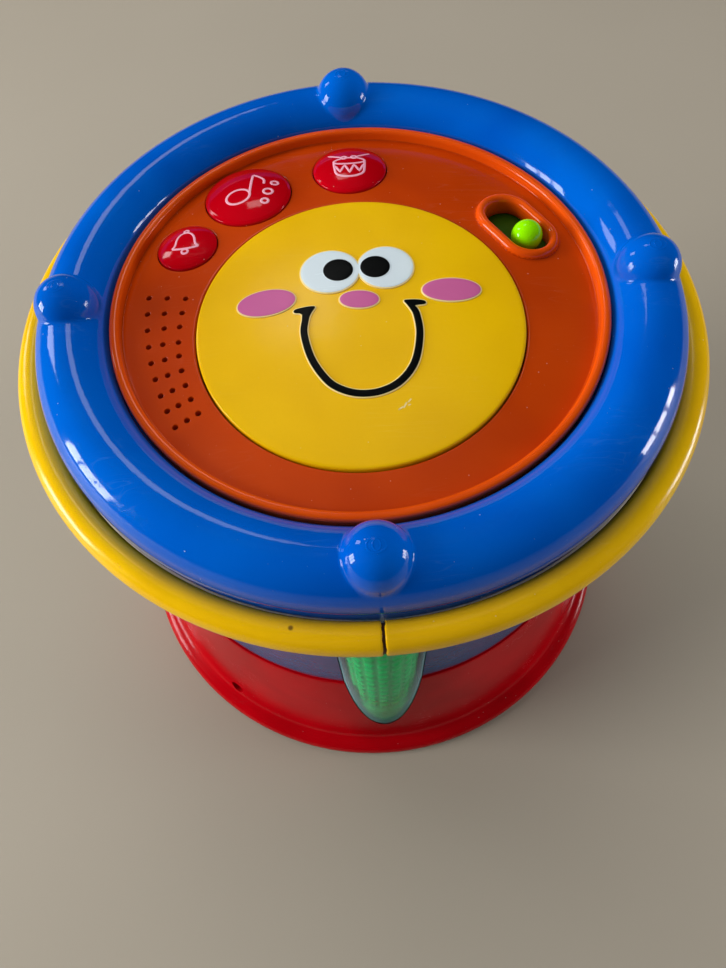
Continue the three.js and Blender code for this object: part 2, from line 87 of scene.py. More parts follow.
class Graph:
    def __init__(self, name):
        self.m = bpy.data.materials.new(name)
        self.m.use_nodes = True
        self.t = self.m.node_tree
        self.bsdf = self.t.nodes["Principled BSDF"]
        self.out = self.t.nodes["Material Output"]
        tc = self.t.nodes.new("ShaderNodeTexCoord")
        mp = self.t.nodes.new("ShaderNodeMapping")
        mp.inputs["Scale"].default_value = (1000, 1000, 1000)
        self.t.links.new(tc.outputs["Object"], mp.inputs["Vector"])
        self.mm = mp.outputs["Vector"]

    def link(self, a, b):
        self.t.links.new(a, b)

    def mapping(self, scale=(1, 1, 1), rot=(0, 0, 0), loc=(0, 0, 0)):
        n = self.t.nodes.new("ShaderNodeMapping")
        n.inputs["Scale"].default_value = scale
        n.inputs["Rotation"].default_value = rot
        n.inputs["Location"].default_value = loc
        self.link(self.mm, n.inputs["Vector"])
        return n.outputs["Vector"]

    def noise(self, scale, detail=2.0, rough=0.5, vec=None, dist=0.0):
        n = self.t.nodes.new("ShaderNodeTexNoise")
        n.inputs["Scale"].default_value = scale
        n.inputs["Detail"].default_value = detail
        n.inputs["Roughness"].default_value = rough
        n.inputs["Distortion"].default_value = dist
        self.link(vec or self.mm, n.inputs["Vector"])
        return n.outputs["Fac"]

    def ramp(self, src, stops):
        n = self.t.nodes.new("ShaderNodeValToRGB")
        e = n.color_ramp.elements
        while len(e) < len(stops):
            e.new(0.5)
        for el, (p, v) in zip(e, stops):
            el.position = p
            el.color = v if isinstance(v, tuple) else (v, v, v, 1)
        self.link(src, n.inputs["Fac"])
        return n.outputs["Color"]

    def math(self, op, a, b=None, clamp=False):
        n = self.t.nodes.new("ShaderNodeMath")
        n.operation = op
        n.use_clamp = clamp
        for i, v in enumerate((a, b)):
            if v is None:
                continue
            if isinstance(v, (int, float)):
                n.inputs[i].default_value = v
            else:
                self.link(v, n.inputs[i])
        return n.outputs[0]

    def mix(self, fac, a, b, kind="MIX"):
        n = self.t.nodes.new("ShaderNodeMix")
        n.data_type = "RGBA"
        n.blend_type = kind
        n.clamp_factor = True
        for k, v in (("Factor", fac), ("A", a), ("B", b)):
            s = [i for i in n.inputs if i.name == k and (i.type == "RGBA" or k == "Factor")][0]
            if isinstance(v, (int, float)):
                s.default_value = v
            elif isinstance(v, tuple):
                s.default_value = v
            else:
                self.link(v, s)
        return [o for o in n.outputs if o.type == "RGBA"][0]

    def voronoi(self, scale, feature="F1", vec=None):
        n = self.t.nodes.new("ShaderNodeTexVoronoi")
        n.feature = feature
        n.inputs["Scale"].default_value = scale
        self.link(vec or self.mm, n.inputs["Vector"])
        return n

    def bump(self, height, strength, distance):
        n = self.t.nodes.new("ShaderNodeBump")
        n.inputs["Strength"].default_value = strength
        n.inputs["Distance"].default_value = distance
        self.link(height, n.inputs["Height"])
        prev = getattr(self, "_normal", None)
        if prev is not None:
            self.link(prev, n.inputs["Normal"])
        self._normal = n.outputs["Normal"]
        self.link(self._normal, self.bsdf.inputs["Normal"])
        return self._normal


def specks(g, size, share):
    """Grains of dust: one in some cells of about 1/size mm, of random size."""
    v = g.voronoi(size)
    near = g.ramp(v.outputs["Distance"], [(0.0, 1.0), (0.05, 1.0), (0.085, 0.0)])
    sep = g.t.nodes.new("ShaderNodeSeparateColor")
    g.link(v.outputs["Color"], sep.inputs["Color"])
    pick = g.math("GREATER_THAN", sep.outputs["Red"], 1 - share)
    return g.math("MULTIPLY", near, pick)


def scratches(g, angle, scale, width=0.012):
    vec = g.mapping((0.05, 1.0, 1.0), (0, 0, rad(angle)))
    n = g.noise(scale, 1.5, 0.4, vec, 0.4)
    line = g.ramp(n, [(0.5 - width, 0.0), (0.5, 1.0), (0.5 + width, 0.0)])
    where = g.ramp(g.noise(0.035, 1.0), [(0.52, 0.0), (0.66, 1.0)])
    return g.math("MULTIPLY", line, where)


def plastic(name, col, col2, rough=0.16, ior=1.5, sss=0.0, sss_r=None, var=1.0, peel=0.25, dust=0.18,
            dust_col=(214, 206, 190), scratch=0.5, coat=0.0, metallic=0.0, grime=0.0):
    g = Graph(name)
    b = g.bsdf
    broad = g.ramp(g.noise(0.022, 2.0, 0.5, None, 0.3), [(0.36, 0.0), (0.66, 1.0)])
    colour = g.mix(g.math("MULTIPLY", broad, var), lin(col), lin(col2))
    fine = g.noise(0.9, 3.0, 0.6)
    colour = g.mix(g.math("MULTIPLY", fine, 0.10), colour, lin(tuple(int(v * 0.82) for v in col)))
    if grime:
        dirt = g.ramp(g.noise(0.09, 4.0, 0.65), [(0.5, 0.0), (0.75, 1.0)])
        colour = g.mix(g.math("MULTIPLY", dirt, grime), colour, lin(tuple(int(v * 0.55) for v in col)))
    sp = specks(g, 0.34, dust)
    sp2 = specks(g, 0.9, dust * 0.6)
    allsp = g.math("MAXIMUM", sp, sp2)
    colour = g.mix(g.math("MULTIPLY", allsp, 0.34), colour, lin(dust_col))
    sc = scratches(g, 24, 0.30)
    sc2 = scratches(g, -61, 0.24)
    allsc = g.math("MAXIMUM", sc, sc2)
    colour = g.mix(g.math("MULTIPLY", allsc, 0.10 * scratch), colour, lin(tuple(min(255, int(v * 0.6 + 110)) for v in col)))
    g.link(colour, b.inputs["Base Color"])
    smear = g.ramp(g.noise(0.06, 3.0, 0.55, None, 0.8), [(0.35, 0.0), (0.7, 1.0)])
    r = g.math("ADD", rough, g.math("MULTIPLY", smear, 0.032))
    r = g.math("ADD", r, g.math("MULTIPLY", fine, 0.014))
    r = g.math("ADD", r, g.math("MULTIPLY", allsc, 0.16 * scratch))
    r = g.math("ADD", r, g.math("MULTIPLY", allsp, 0.35), True)
    g.link(r, b.inputs["Roughness"])
    g.bump(g.noise(0.16, 1.5), peel, 0.00035)
    g.bump(g.noise(2.6, 2.0), 0.05, 0.00006)
    g.bump(allsc, 0.22 * scratch, 0.00004)
    g.bump(allsp, 0.6, 0.00008)
    b.inputs["IOR"].default_value = ior
    b.inputs["Metallic"].default_value = metallic
    if sss:
        b.inputs["Subsurface Weight"].default_value = sss
        b.inputs["Subsurface Radius"].default_value = sss_r or (1, 1, 1)
        b.inputs["Subsurface Scale"].default_value = 0.002
    if coat:
        b.inputs["Coat Weight"].default_value = coat
        b.inputs["Coat Roughness"].default_value = 0.05
    return g


RED = plastic("red_moulded", (178, 0, 13), (154, 0, 9), 0.13, ior=1.3, peel=0.22).m
BLUE = plastic("blue_moulded", (0, 94, 200), (0, 82, 186), 0.034, ior=1.46, peel=0.17, dust=0.10).m
ORANGE = plastic("orange_moulded", (198, 66, 3), (180, 55, 2), 0.15, peel=0.25, dust=0.14).m


def body_blue():
    """Blue wall: its outer face is blended to a pale slate, a painted reflection of the floor, and its foot to red,
    painted light bounced from the red base.
    """
    g = plastic("body_blue", (0, 80, 158), (0, 70, 140), 0.16, ior=1.18, peel=0.2, dust=0.10)
    src = g.bsdf.inputs["Base Color"].links[0].from_socket
    sep = g.t.nodes.new("ShaderNodeSeparateXYZ")
    g.link(g.mm, sep.inputs[0])
    rr = g.math("SQRT", g.math("ADD", g.math("MULTIPLY", sep.outputs[0], sep.outputs[0]), g.math("MULTIPLY", sep.outputs[1], sep.outputs[1])))
    wall = g.ramp(g.math("DIVIDE", rr, 200.0), [(0.512, 0.0), (0.516, 1.0)])
    # painted reflection: the outer face of the wall is blended toward pale slate, standing in for the floor mirrored at
    # a grazing angle
    wall_painted_reflection = g.mix(g.math("MULTIPLY", wall, 0.75), src, lin((10, 118, 152)))
    # painted light: the outer wall is red up to about z 73 mm, fading out by about 80 mm, standing in for red light
    # bounced from the base
    foot = g.ramp(g.math("DIVIDE", g.math("ADD", sep.outputs[2], g.math("MULTIPLY", g.noise(0.05, 2.0), 6.0)), 200.0), [(0.366, 1.0), (0.402, 0.0)])
    g.link(g.mix(g.math("MULTIPLY", foot, wall), wall_painted_reflection, lin((150, 6, 24))), g.bsdf.inputs["Base Color"])
    return g.m


BODY = body_blue()
YELLOW = plastic("yellow_moulded", (238, 188, 0), (228, 176, 0), 0.17, ior=1.38, peel=0.2, dust=0.08).m
BUMPER = plastic("yellow_bumper", (240, 190, 0), (230, 178, 0), 0.17, peel=0.3, dust=0.10, grime=0.06).m


def spot(mat, at, radius, col):
    """A small dark blemish at one place."""
    t = mat.node_tree
    b = t.nodes["Principled BSDF"]
    src = b.inputs["Base Color"].links[0].from_socket
    tc = t.nodes.new("ShaderNodeTexCoord")
    d = t.nodes.new("ShaderNodeVectorMath")
    d.operation = "DISTANCE"
    d.inputs[1].default_value = tuple(v * MM for v in at)
    t.links.new(tc.outputs["Object"], d.inputs[0])
    r = t.nodes.new("ShaderNodeMapRange")
    r.inputs["From Min"].default_value = radius * MM * 0.6
    r.inputs["From Max"].default_value = radius * MM * 1.3
    r.inputs["To Min"].default_value = 0.85
    r.inputs["To Max"].default_value = 0.0
    t.links.new(d.outputs["Value"], r.inputs["Value"])
    m = t.nodes.new("ShaderNodeMix")
    m.data_type = "RGBA"
    t.links.new(r.outputs["Result"], m.inputs["Factor"])
    t.links.new(src, [i for i in m.inputs if i.name == "A" and i.type == "RGBA"][0])
    [i for i in m.inputs if i.name == "B" and i.type == "RGBA"][0].default_value = lin(col)
    t.links.new([o for o in m.outputs if o.type == "RGBA"][0], b.inputs["Base Color"])


spot(BUMPER, (-25.5, -111.6, 188.5), 0.75, (92, 58, 6))
# dark brown for the core in the bumper's split: painted shade of the gap
SPLIT_SHADE = plastic("split_painted_shade", (104, 58, 14), (70, 36, 8), 0.5, peel=0.6, dust=0.2).m
RED_SKIRT = plastic("red_skirt", (186, 0, 14), (158, 0, 10), 0.2, ior=1.16, peel=0.22, dust=0.12).m
# lighter copy of the orange for the raised lip and slot bead: painted light
ORANGE_PAINTED_LIGHT = plastic("orange_painted_light", (224, 82, 8), (212, 72, 6), 0.12, peel=0.2, dust=0.08).m
BUTTON = plastic("red_button", (196, 0, 20), (178, 0, 14), 0.07, peel=0.12, dust=0.06).m
LIME = plastic("lime_moulded", (146, 238, 0), (134, 226, 0), 0.08, peel=0.1, dust=0.04).m
# the plate is the lime plastic of the knob; this dark olive is painted shade for its place deep under the slot
LIME_PAINTED_SHADE = plastic("slider_plate", (44, 84, 4), (32, 64, 4), 0.3, peel=0.2, dust=0.2).m
WHITE = plastic("eye_white", (214, 228, 234), (206, 220, 228), 0.24, peel=0.2, dust=0.04).m
# cream for the rims of the raised face prints: painted highlight on their yellow sides; the same cream for the pad's
# small nicks, which are wear
CREAM_HIGHLIGHT_AND_NICK = plastic("cream_highlight_and_nick", (240, 218, 150), (234, 208, 136), 0.3, peel=0.2, dust=0.04).m
INK = plastic("black_ink", (5, 7, 7), (8, 9, 9), 0.34, ior=1.33, peel=0.25, dust=0.04, scratch=0.5).m
PINK = plastic("pink_ink", (200, 96, 152), (190, 88, 146), 0.3, peel=0.3, dust=0.05).m
ICON = plastic("icon_print", (244, 180, 196), (236, 164, 184), 0.35, peel=0.2, dust=0.03).m
BLACK = plastic("black_moulded", (26, 26, 29), (34, 34, 37), 0.42, peel=0.5, dust=0.3).m


def green_column():
    g = Graph("green_translucent")
    b = g.bsdf
    v = g.ramp(g.noise(0.05, 2.0), [(0.35, 0.0), (0.7, 1.0)])
    colour = g.mix(v, lin((8, 196, 100)), lin((4, 176, 84)))
    sp = specks(g, 0.5, 0.1)
    colour = g.mix(g.math("MULTIPLY", sp, 0.3), colour, lin((200, 220, 205)))
    g.link(colour, b.inputs["Base Color"])
    r = g.math("ADD", 0.24, g.math("MULTIPLY", g.noise(0.4, 3.0), 0.10))
    g.link(r, b.inputs["Roughness"])
    b.inputs["IOR"].default_value = 1.35
    # painted glow: this emission stands in for light passing into the translucent column from all sides
    b.inputs["Emission Color"].default_value = lin((6, 150, 74))
    b.inputs["Emission Strength"].default_value = 0.10
    b.inputs["Subsurface Weight"].default_value = 0.15
    b.inputs["Subsurface Radius"].default_value = (0.3, 1.0, 0.5)
    b.inputs["Subsurface Scale"].default_value = 0.003
    g.bump(g.noise(1.2, 2.0), 0.12, 0.0001)
    return g.m


def clear_tube():
    """A thin clear wall: what is behind it shows through, and it shines at a grazing angle; at the grazing edges a pale
    diffuse colour is mixed in as a painted highlight.
    """
    g = Graph("clear_moulded")
    t = g.t
    t.nodes.remove(g.bsdf)
    tr = t.nodes.new("ShaderNodeBsdfTransparent")
    tint = g.mix(g.noise(0.03, 2.0), lin((243, 249, 250)), lin((232, 243, 246)))
    g.link(tint, tr.inputs["Color"])
    gl = t.nodes.new("ShaderNodeBsdfGlossy")
    r = g.math("ADD", 0.05, g.math("MULTIPLY", g.noise(0.25, 3.0), 0.06))
    g.link(r, gl.inputs["Roughness"])
    lw = t.nodes.new("ShaderNodeLayerWeight")
    lw.inputs["Blend"].default_value = 0.5
    edge = g.math("MULTIPLY", g.math("POWER", lw.outputs["Facing"], 5.0), 0.36)
    geo = t.nodes.new("ShaderNodeNewGeometry")
    front = g.math("SUBTRACT", 1.0, geo.outputs["Backfacing"])
    fac = g.math("MULTIPLY", g.math("ADD", edge, 0.012), front)
    fac = g.math("ADD", fac, g.math("MULTIPLY", specks(g, 0.5, 0.15), 0.25), True)
    bump = t.nodes.new("ShaderNodeBump")
    bump.inputs["Strength"].default_value = 0.12
    bump.inputs["Distance"].default_value = 0.0002
    g.link(g.noise(0.12, 2.0), bump.inputs["Height"])
    g.link(bump.outputs["Normal"], gl.inputs["Normal"])
    g.link(bump.outputs["Normal"], lw.inputs["Normal"])
    mx = t.nodes.new("ShaderNodeMixShader")
    g.link(fac, mx.inputs[0])
    g.link(tr.outputs[0], mx.inputs[1])
    g.link(gl.outputs[0], mx.inputs[2])
    # painted highlight: a pale diffuse colour at the grazing edges stands in for the thin bright lines at the tube's
    # sides
    painted_edge_highlight = t.nodes.new("ShaderNodeBsdfDiffuse")
    g.link(g.mix(g.noise(0.1, 2.0), lin((150, 196, 206)), lin((176, 212, 214))), painted_edge_highlight.inputs["Color"])
    painted_highlight_mask = g.math("MULTIPLY", g.math("MULTIPLY", g.math("POWER", lw.outputs["Facing"], 9.0), 0.55), front)
    top = t.nodes.new("ShaderNodeMixShader")
    g.link(painted_highlight_mask, top.inputs[0])
    g.link(mx.outputs[0], top.inputs[1])
    g.link(painted_edge_highlight.outputs[0], top.inputs[2])
    g.link(top.outputs[0], g.out.inputs["Surface"])
    return g.m


def metal(name, col, rough):
    g = Graph(name)
    b = g.bsdf
    v = g.ramp(g.noise(0.15, 4.0, 0.6), [(0.4, 0.0), (0.7, 1.0)])
    g.link(g.mix(v, lin(col), lin(tuple(int(c * 0.78) for c in col))), b.inputs["Base Color"])
    b.inputs["Metallic"].default_value = 1.0
    r = g.math("ADD", rough, g.math("MULTIPLY", g.noise(0.5, 4.0), 0.2))
    g.link(r, b.inputs["Roughness"])
    g.bump(g.noise(1.5, 3.0, 0.6, g.mapping((0.2, 1, 1))), 0.2, 0.00008)
    return g.m


def board():
    g = Graph("circuit_board")
    b = g.bsdf
    tracks = g.voronoi(0.35, "DISTANCE_TO_EDGE")
    line = g.ramp(tracks.outputs["Distance"], [(0.0, 1.0), (0.06, 1.0), (0.09, 0.0)])
    base = g.mix(g.noise(0.1, 3.0), lin((24, 92, 48)), lin((18, 76, 40)))
    g.link(g.mix(g.math("MULTIPLY", line, 0.7), base, lin((60, 140, 74))), b.inputs["Base Color"])
    g.link(g.math("ADD", 0.3, g.math("MULTIPLY", line, 0.12)), b.inputs["Roughness"])
    g.bump(line, 0.3, 0.0001)
    return g.m


def paper():
    g = Graph("speaker_paper")
    b = g.bsdf
    fibre = g.noise(1.4, 4.0, 0.7, g.mapping((1, 0.25, 1)))
    g.link(g.mix(fibre, lin((34, 32, 30)), lin((58, 54, 50))), b.inputs["Base Color"])
    g.link(g.math("ADD", 0.8, g.math("MULTIPLY", fibre, 0.15)), b.inputs["Roughness"])
    g.bump(fibre, 0.5, 0.0002)
    return g.m


def cell():
    g = plastic("battery_case", (46, 60, 78), (36, 48, 64), 0.28, peel=0.3, dust=0.2, metallic=0.4)
    return g.m


GREEN = green_column()
CLEAR = clear_tube()
STEEL = metal("steel", (190, 194, 198), 0.22)
BOARD = board()
PAPER = paper()
CELL = cell()
FERRITE = plastic("magnet_ferrite", (44, 44, 47), (54, 54, 56), 0.6, peel=0.9, dust=0.4).m
LED = plastic("led_body", (226, 230, 228), (214, 222, 220), 0.1, peel=0.1, dust=0.05).m


# ------------------------------------------------------------------ mesh helpers (millimetres)
class M:
    def __init__(self):
        self.v, self.f = [], []

    def add(self, pts):
        i0 = len(self.v)
        self.v.extend([tuple(map(float, p)) for p in pts])
        return list(range(i0, len(self.v)))

    def strip(self, a, b, close=True):
        n = len(a)
        for k in range(n if close else n - 1):
            q = [a[k], a[(k + 1) % n], b[(k + 1) % n], b[k]]
            u = []
            for i in q:
                if i not in u:
                    u.append(i)
            if len(u) > 2:
                self.f.append(tuple(u))

    def fan(self, ring, centre):
        n = len(ring)
        for k in range(n):
            self.f.append((ring[k], ring[(k + 1) % n], centre))


def shade(me, sharp):
    me.shade_smooth()
    me.set_sharp_from_angle(angle=rad(sharp))


def outward(me):
    bm = bmesh.new()
    bm.from_mesh(me)
    bmesh.ops.recalc_face_normals(bm, faces=bm.faces[:])
    bm.to_mesh(me)
    bm.free()


def link(name, me):
    o = bpy.data.objects.new(name, me)
    scene.collection.objects.link(o)
    return o


def raw(name, g):
    me = bpy.data.meshes.new(name)
    me.from_pydata([(x * MM, y * MM, z * MM) for x, y, z in g.v], [], g.f)
    me.validate()
    outward(me)
    return link(name, me)


def done(o, mat, body="housing", nodes=(), sharp=35):
    me = o.data
    me.materials.clear()
    me.materials.append(mat)
    shade(me, sharp)
    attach(o, body)
    if nodes:
        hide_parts(*nodes)
    return o


def rounded(pts, radii, seg=5, closed=False):
    out = []
    n = len(pts)
    for i, (p, r) in enumerate(zip(pts, radii)):
        if r <= 0 or (not closed and i in (0, n - 1)):
            out.append(tuple(p))
            continue
        a, c = np.array(pts[i - 1], float), np.array(pts[(i + 1) % n], float)
        b = np.array(p, float)
        u, w = a - b, c - b
        lu, lw = np.linalg.norm(u), np.linalg.norm(w)
        t = min(r, lu * 0.49, lw * 0.49)
        p0, p1 = b + u / lu * t, b + w / lw * t
        for k in range(seg + 1):
            s = k / seg
            out.append(tuple((1 - s) ** 2 * p0 + 2 * s * (1 - s) * b + s * s * p1))
    return out


def lathe(prof, n=192, cx=0.0, cy=0.0, g=None, zf=None, loop=False):
    g = g or M()
    rings = []
    for r, z in prof:
        if r < 1e-6:
            i = g.add([(cx, cy, z + (zf(cx, cy) if zf else 0))])[0]
            rings.append([i] * n)
        else:
            pts = []
            for k in range(n):
                t = 2 * math.pi * k / n
                x, y = cx + r * math.cos(t), cy + r * math.sin(t)
                pts.append((x, y, z + (zf(x, y) if zf else 0)))
            rings.append(g.add(pts))
    pairs = list(zip(rings, rings[1:]))
    if loop:
        pairs.append((rings[-1], rings[0]))
    for a, b in pairs:
        g.strip(a, b)
    return g


def cut(o, *ops):
    """Booleans with other objects, applied; the cutters are removed."""
    for tool, kind in ops:
        md = o.modifiers.new("b", "BOOLEAN")
        md.object = tool
        md.operation = kind
        md.solver = "EXACT"
    dg = bpy.context.evaluated_depsgraph_get()
    me = bpy.data.meshes.new_from_object(o.evaluated_get(dg))
    o.modifiers.clear()
    old = o.data
    o.data = me
    bpy.data.meshes.remove(old)
    for tool, _ in ops:
        d = tool.data
        bpy.data.objects.remove(tool)
        bpy.data.meshes.remove(d)
    return o


def bevel(o, width, seg=2, angle=35):
    md = o.modifiers.new("bev", "BEVEL")
    md.width = width * MM
    md.segments = seg
    md.limit_method = "ANGLE"
    md.angle_limit = rad(angle)
    md.use_clamp_overlap = True
    dg = bpy.context.evaluated_depsgraph_get()
    me = bpy.data.meshes.new_from_object(o.evaluated_get(dg))
    o.modifiers.clear()
    old = o.data
    o.data = me
    bpy.data.meshes.remove(old)
    return o


def join(name, objs):
    bm = bmesh.new()
    for o in objs:
        bm.from_mesh(o.data)
    me = bpy.data.meshes.new(name)
    bm.to_mesh(me)
    bm.free()
    for o in objs:
        d = o.data
        bpy.data.objects.remove(o)
        bpy.data.meshes.remove(d)
    return link(name, me)


def circle(cx, cy, r, n):
    return np.array([(cx + r * math.cos(2 * math.pi * k / n), cy + r * math.sin(2 * math.pi * k / n)) for k in range(n)])


def stadium(cx, cy, deg, half, r, arc=24, flat=8):
    pts = []
    for k in range(arc):
        t = -math.pi / 2 + math.pi * k / arc
        pts.append((half + r * math.cos(t), r * math.sin(t)))
    for k in range(flat):
        pts.append((half - 2 * half * k / flat, r))
    for k in range(arc):
        t = math.pi / 2 + math.pi * k / arc
        pts.append((-half + r * math.cos(t), r * math.sin(t)))
    for k in range(flat):
        pts.append((-half + 2 * half * k / flat, -r))
    c, s = math.cos(rad(deg)), math.sin(rad(deg))
    return np.array([(cx + x * c - y * s, cy + x * s + y * c) for x, y in pts])


def inside(poly, pts):
    x, y = pts[:, 0], pts[:, 1]
    res = np.zeros(len(pts), bool)
    n = len(poly)
    j = n - 1
    for i in range(n):
        xi, yi = poly[i]
        xj, yj = poly[j]
        c = ((yi > y) != (yj > y)) & (x < (xj - xi) * (y - yi) / (yj - yi + 1e-12) + xi)
        res ^= c
        j = i
    return res


def flat_mesh(rings, outer, holes, extra, spacing):
    """Triangles of the flat region inside ring `outer` and outside rings `holes`; `rings` are all constrained rings."""
    lo, hi = rings[outer].min(0), rings[outer].max(0)
    xs = np.arange(lo[0], hi[0] + spacing, spacing)
    ys = np.arange(lo[1], hi[1] + spacing, spacing * 0.866)
    grid = np.array([(x + (0.5 * spacing if j % 2 else 0), y) for j, y in enumerate(ys) for x in xs])
    keep = inside(rings[outer], grid)
    for h in holes:
        keep &= ~inside(rings[h], grid)
    grid = grid[keep]
    fixed = np.vstack(rings + ([extra] if len(extra) else []))
    # leave room round the fixed points
    cell = {}
    step = spacing
    for p in fixed:
        cell.setdefault((int(p[0] // step), int(p[1] // step)), []).append(p)
    good = []
    for p in grid:
        cx, cy = int(p[0] // step), int(p[1] // step)
        ok = True
        for a in (-1, 0, 1):
            for b in (-1, 0, 1):
                for q in cell.get((cx + a, cy + b), ()):
                    if (p[0] - q[0]) ** 2 + (p[1] - q[1]) ** 2 < (0.62 * spacing) ** 2:
                        ok = False
                        break
                if not ok:
                    break
            if not ok:
                break
        if ok:
            good.append(p)
    grid = np.array(good) if good else np.zeros((0, 2))
    allp = np.vstack([fixed, grid]) if len(grid) else fixed
    edges = []
    i0 = 0
    for r in rings:
        n = len(r)
        edges += [(i0 + k, i0 + (k + 1) % n) for k in range(n)]
        i0 += n
    res = delaunay_2d_cdt([Vector((float(p[0]), float(p[1]))) for p in allp], edges, [], 0, 1e-6)
    vs, fs, orig = res[0], res[2], res[3]
    back = []
    for v, o in zip(vs, orig):
        if o:
            back.append(o[0])
        else:
            allp = np.vstack([allp, [v[0], v[1]]])
            back.append(len(allp) - 1)
    cent = np.array([np.mean([vs[i] for i in f], axis=0) for f in fs])
    keep = inside(rings[outer], cent)
    for h in holes:
        keep &= ~inside(rings[h], cent)
    tris = [tuple(back[i] for i in f) for f, k in zip(fs, keep) if k]
    return allp, tris


# ------------------------------------------------------------------ shared dimensions (mm)
HEAD_CURVE = 560.0


def head_z(x, y):
    return 194 + (81.0**2 - x * x - y * y) / (2 * HEAD_CURVE)


COLUMNS = {"front": (0, -95.5), "right": (95.5, 0), "back": (0, 95.5), "left": (-95.5, 0)}
SCREWS = [(98 * math.cos(rad(d)), 98 * math.sin(rad(d))) for d in (45, 135, 225, 315)]
PAD = (0.12, -12.8)
BUTTONS = {"big": (-38.12, 51.38, 16.1), "medium": (0.34, 61.4, 13.8), "small": (-59.61, 27.63, 10.85)}
SLOT = (58.38, 26.59, -58.1)
HOLES = [(-72.14, 6.26), (-65.45, 4.89), (-58.87, 3.52), (-72.11, -0.94), (-66.02, -1.71), (-59.73, -2.57),
         (-71.59, -7.95), (-65.69, -8.11), (-60.29, -8.37), (-70.66, -14.96), (-65.76, -14.71), (-60.36, -14.77),
         (-69.33, -21.68), (-64.72, -21.02), (-59.92, -20.27), (-67.5, -28.19), (-63.39, -27.24), (-58.78, -26.19),
         (-65.37, -34.72), (-61.55, -33.26), (-57.24, -32.0), (-62.93, -40.64), (-59.31, -39.08), (-55.29, -37.42),
         (-60.09, -46.77), (-56.37, -44.81), (-52.75, -42.85)]


# ------------------------------------------------------------------ red base
def build_base():
    outer = [(0, 0), (122.4, 0), (123.6, 0.25), (124.3, 1.2), (124.4, 2.4), (124.1, 3.7), (123.2, 5.0), (121.6, 6.2),
             (119.8, 7.0), (118.3, 7.7), (117.2, 8.7), (116.55, 10.2), (116.1, 12.2)]
    skirt = lambda z: 116.5 - 11.5 * (z - 9) / 63
    outer += [(skirt(z), z) for z in (16, 22, 30, 38, 46, 54, 62, 68, 70.9)]
    outer += [(105.0, 71.7), (104.75, 72.0), (104.4, 72.0)]
    innerp = [(103.7, 72.0), (103.4, 71.8), (103.3, 71.2), (skirt(40) - 2.4, 40), (114.1, 11), (114.1, 3), (0, 3)]
    base = raw("base_shell_fine", lathe(outer + innerp, 256))
    within = lambda nm: raw(nm, lathe([(0, 0)] + [(r - 0.35, z) for r, z in outer[1:-2]] + [(104.2, 71.7), (0, 71.7)], 256))
    ops = []
    socks = []
    for k, (x, y) in COLUMNS.items():
        s = raw("s_" + k, lathe([(0, 9.6), (20.4, 9.6), (20.4, 80), (0, 80)], 96, x, y))
        w = within("w_" + k)
        cut(s, (w, "INTERSECT"))
        socks.append(s)
    ops += [(s, "UNION") for s in socks]
    for i, (x, y) in enumerate(SCREWS):
        ops.append((raw("b_%d" % i, lathe([(0, 1), (6.2, 1), (6.2, 30), (0, 30)], 40, x, y)), "UNION"))
    for k, (x, y) in COLUMNS.items():
        ops.append((raw("c_" + k, lathe([(0, 11.8), (17.6, 11.8), (18.4, 12.6), (18.4, 90), (0, 90)], 96, x, y)), "DIFFERENCE"))
    for i, (x, y) in enumerate(SCREWS):
        ops.append((raw("d_%d" % i, lathe([(0, -1), (4, -1), (4, 22), (0, 22)], 40, x, y)), "DIFFERENCE"))
        ops.append((raw("e_%d" % i, lathe([(0, 20), (1.9, 20), (1.9, 31), (0, 31)], 24, x, y)), "DIFFERENCE"))
    g = M()
    x0, x1, y0, y1 = -29.35, 29.35, -23.55, 34.35
    a = g.add([(x0, y0, -1), (x1, y0, -1), (x1, y1, -1), (x0, y1, -1)])
    b = g.add([(x0, y0, 4), (x1, y0, 4), (x1, y1, 4), (x0, y1, 4)])
    g.strip(a, b)
    g.f += [tuple(a), tuple(b)]
    ops.append((raw("door_cut", g), "DIFFERENCE"))
    # round hole low in the skirt
    t = rad(-129.6)
    ax = Vector((math.cos(t) * math.cos(rad(-12)), math.sin(t) * math.cos(rad(-12)), math.sin(rad(12))))
    c = Vector((math.cos(t) * 115.5, math.sin(t) * 115.5, 12.5))
    g = M()
    e1 = ax.orthogonal().normalized()
    e2 = ax.cross(e1)
    ring = lambda s, r: g.add([tuple(c + ax * s + e1 * r * math.cos(2 * math.pi * k / 48) + e2 * r * math.sin(2 * math.pi * k / 48)) for k in range(48)])
    rs = [ring(-7, 3.7), ring(7, 3.7)]
    g.strip(rs[0], rs[1])
    g.f += [tuple(rs[0]), tuple(rs[1])]
    ops.append((raw("hole_cut", g), "DIFFERENCE"))
    cut(base, *ops)
    done(base, RED, nodes=("base_shell",), sharp=28)
    base.data.materials.append(RED_SKIRT)
    for f in base.data.polygons:
        c = f.center
        if c.z > 0.0095 and math.hypot(c.x, c.y) > 0.1:
            f.material_index = 1


build_base()


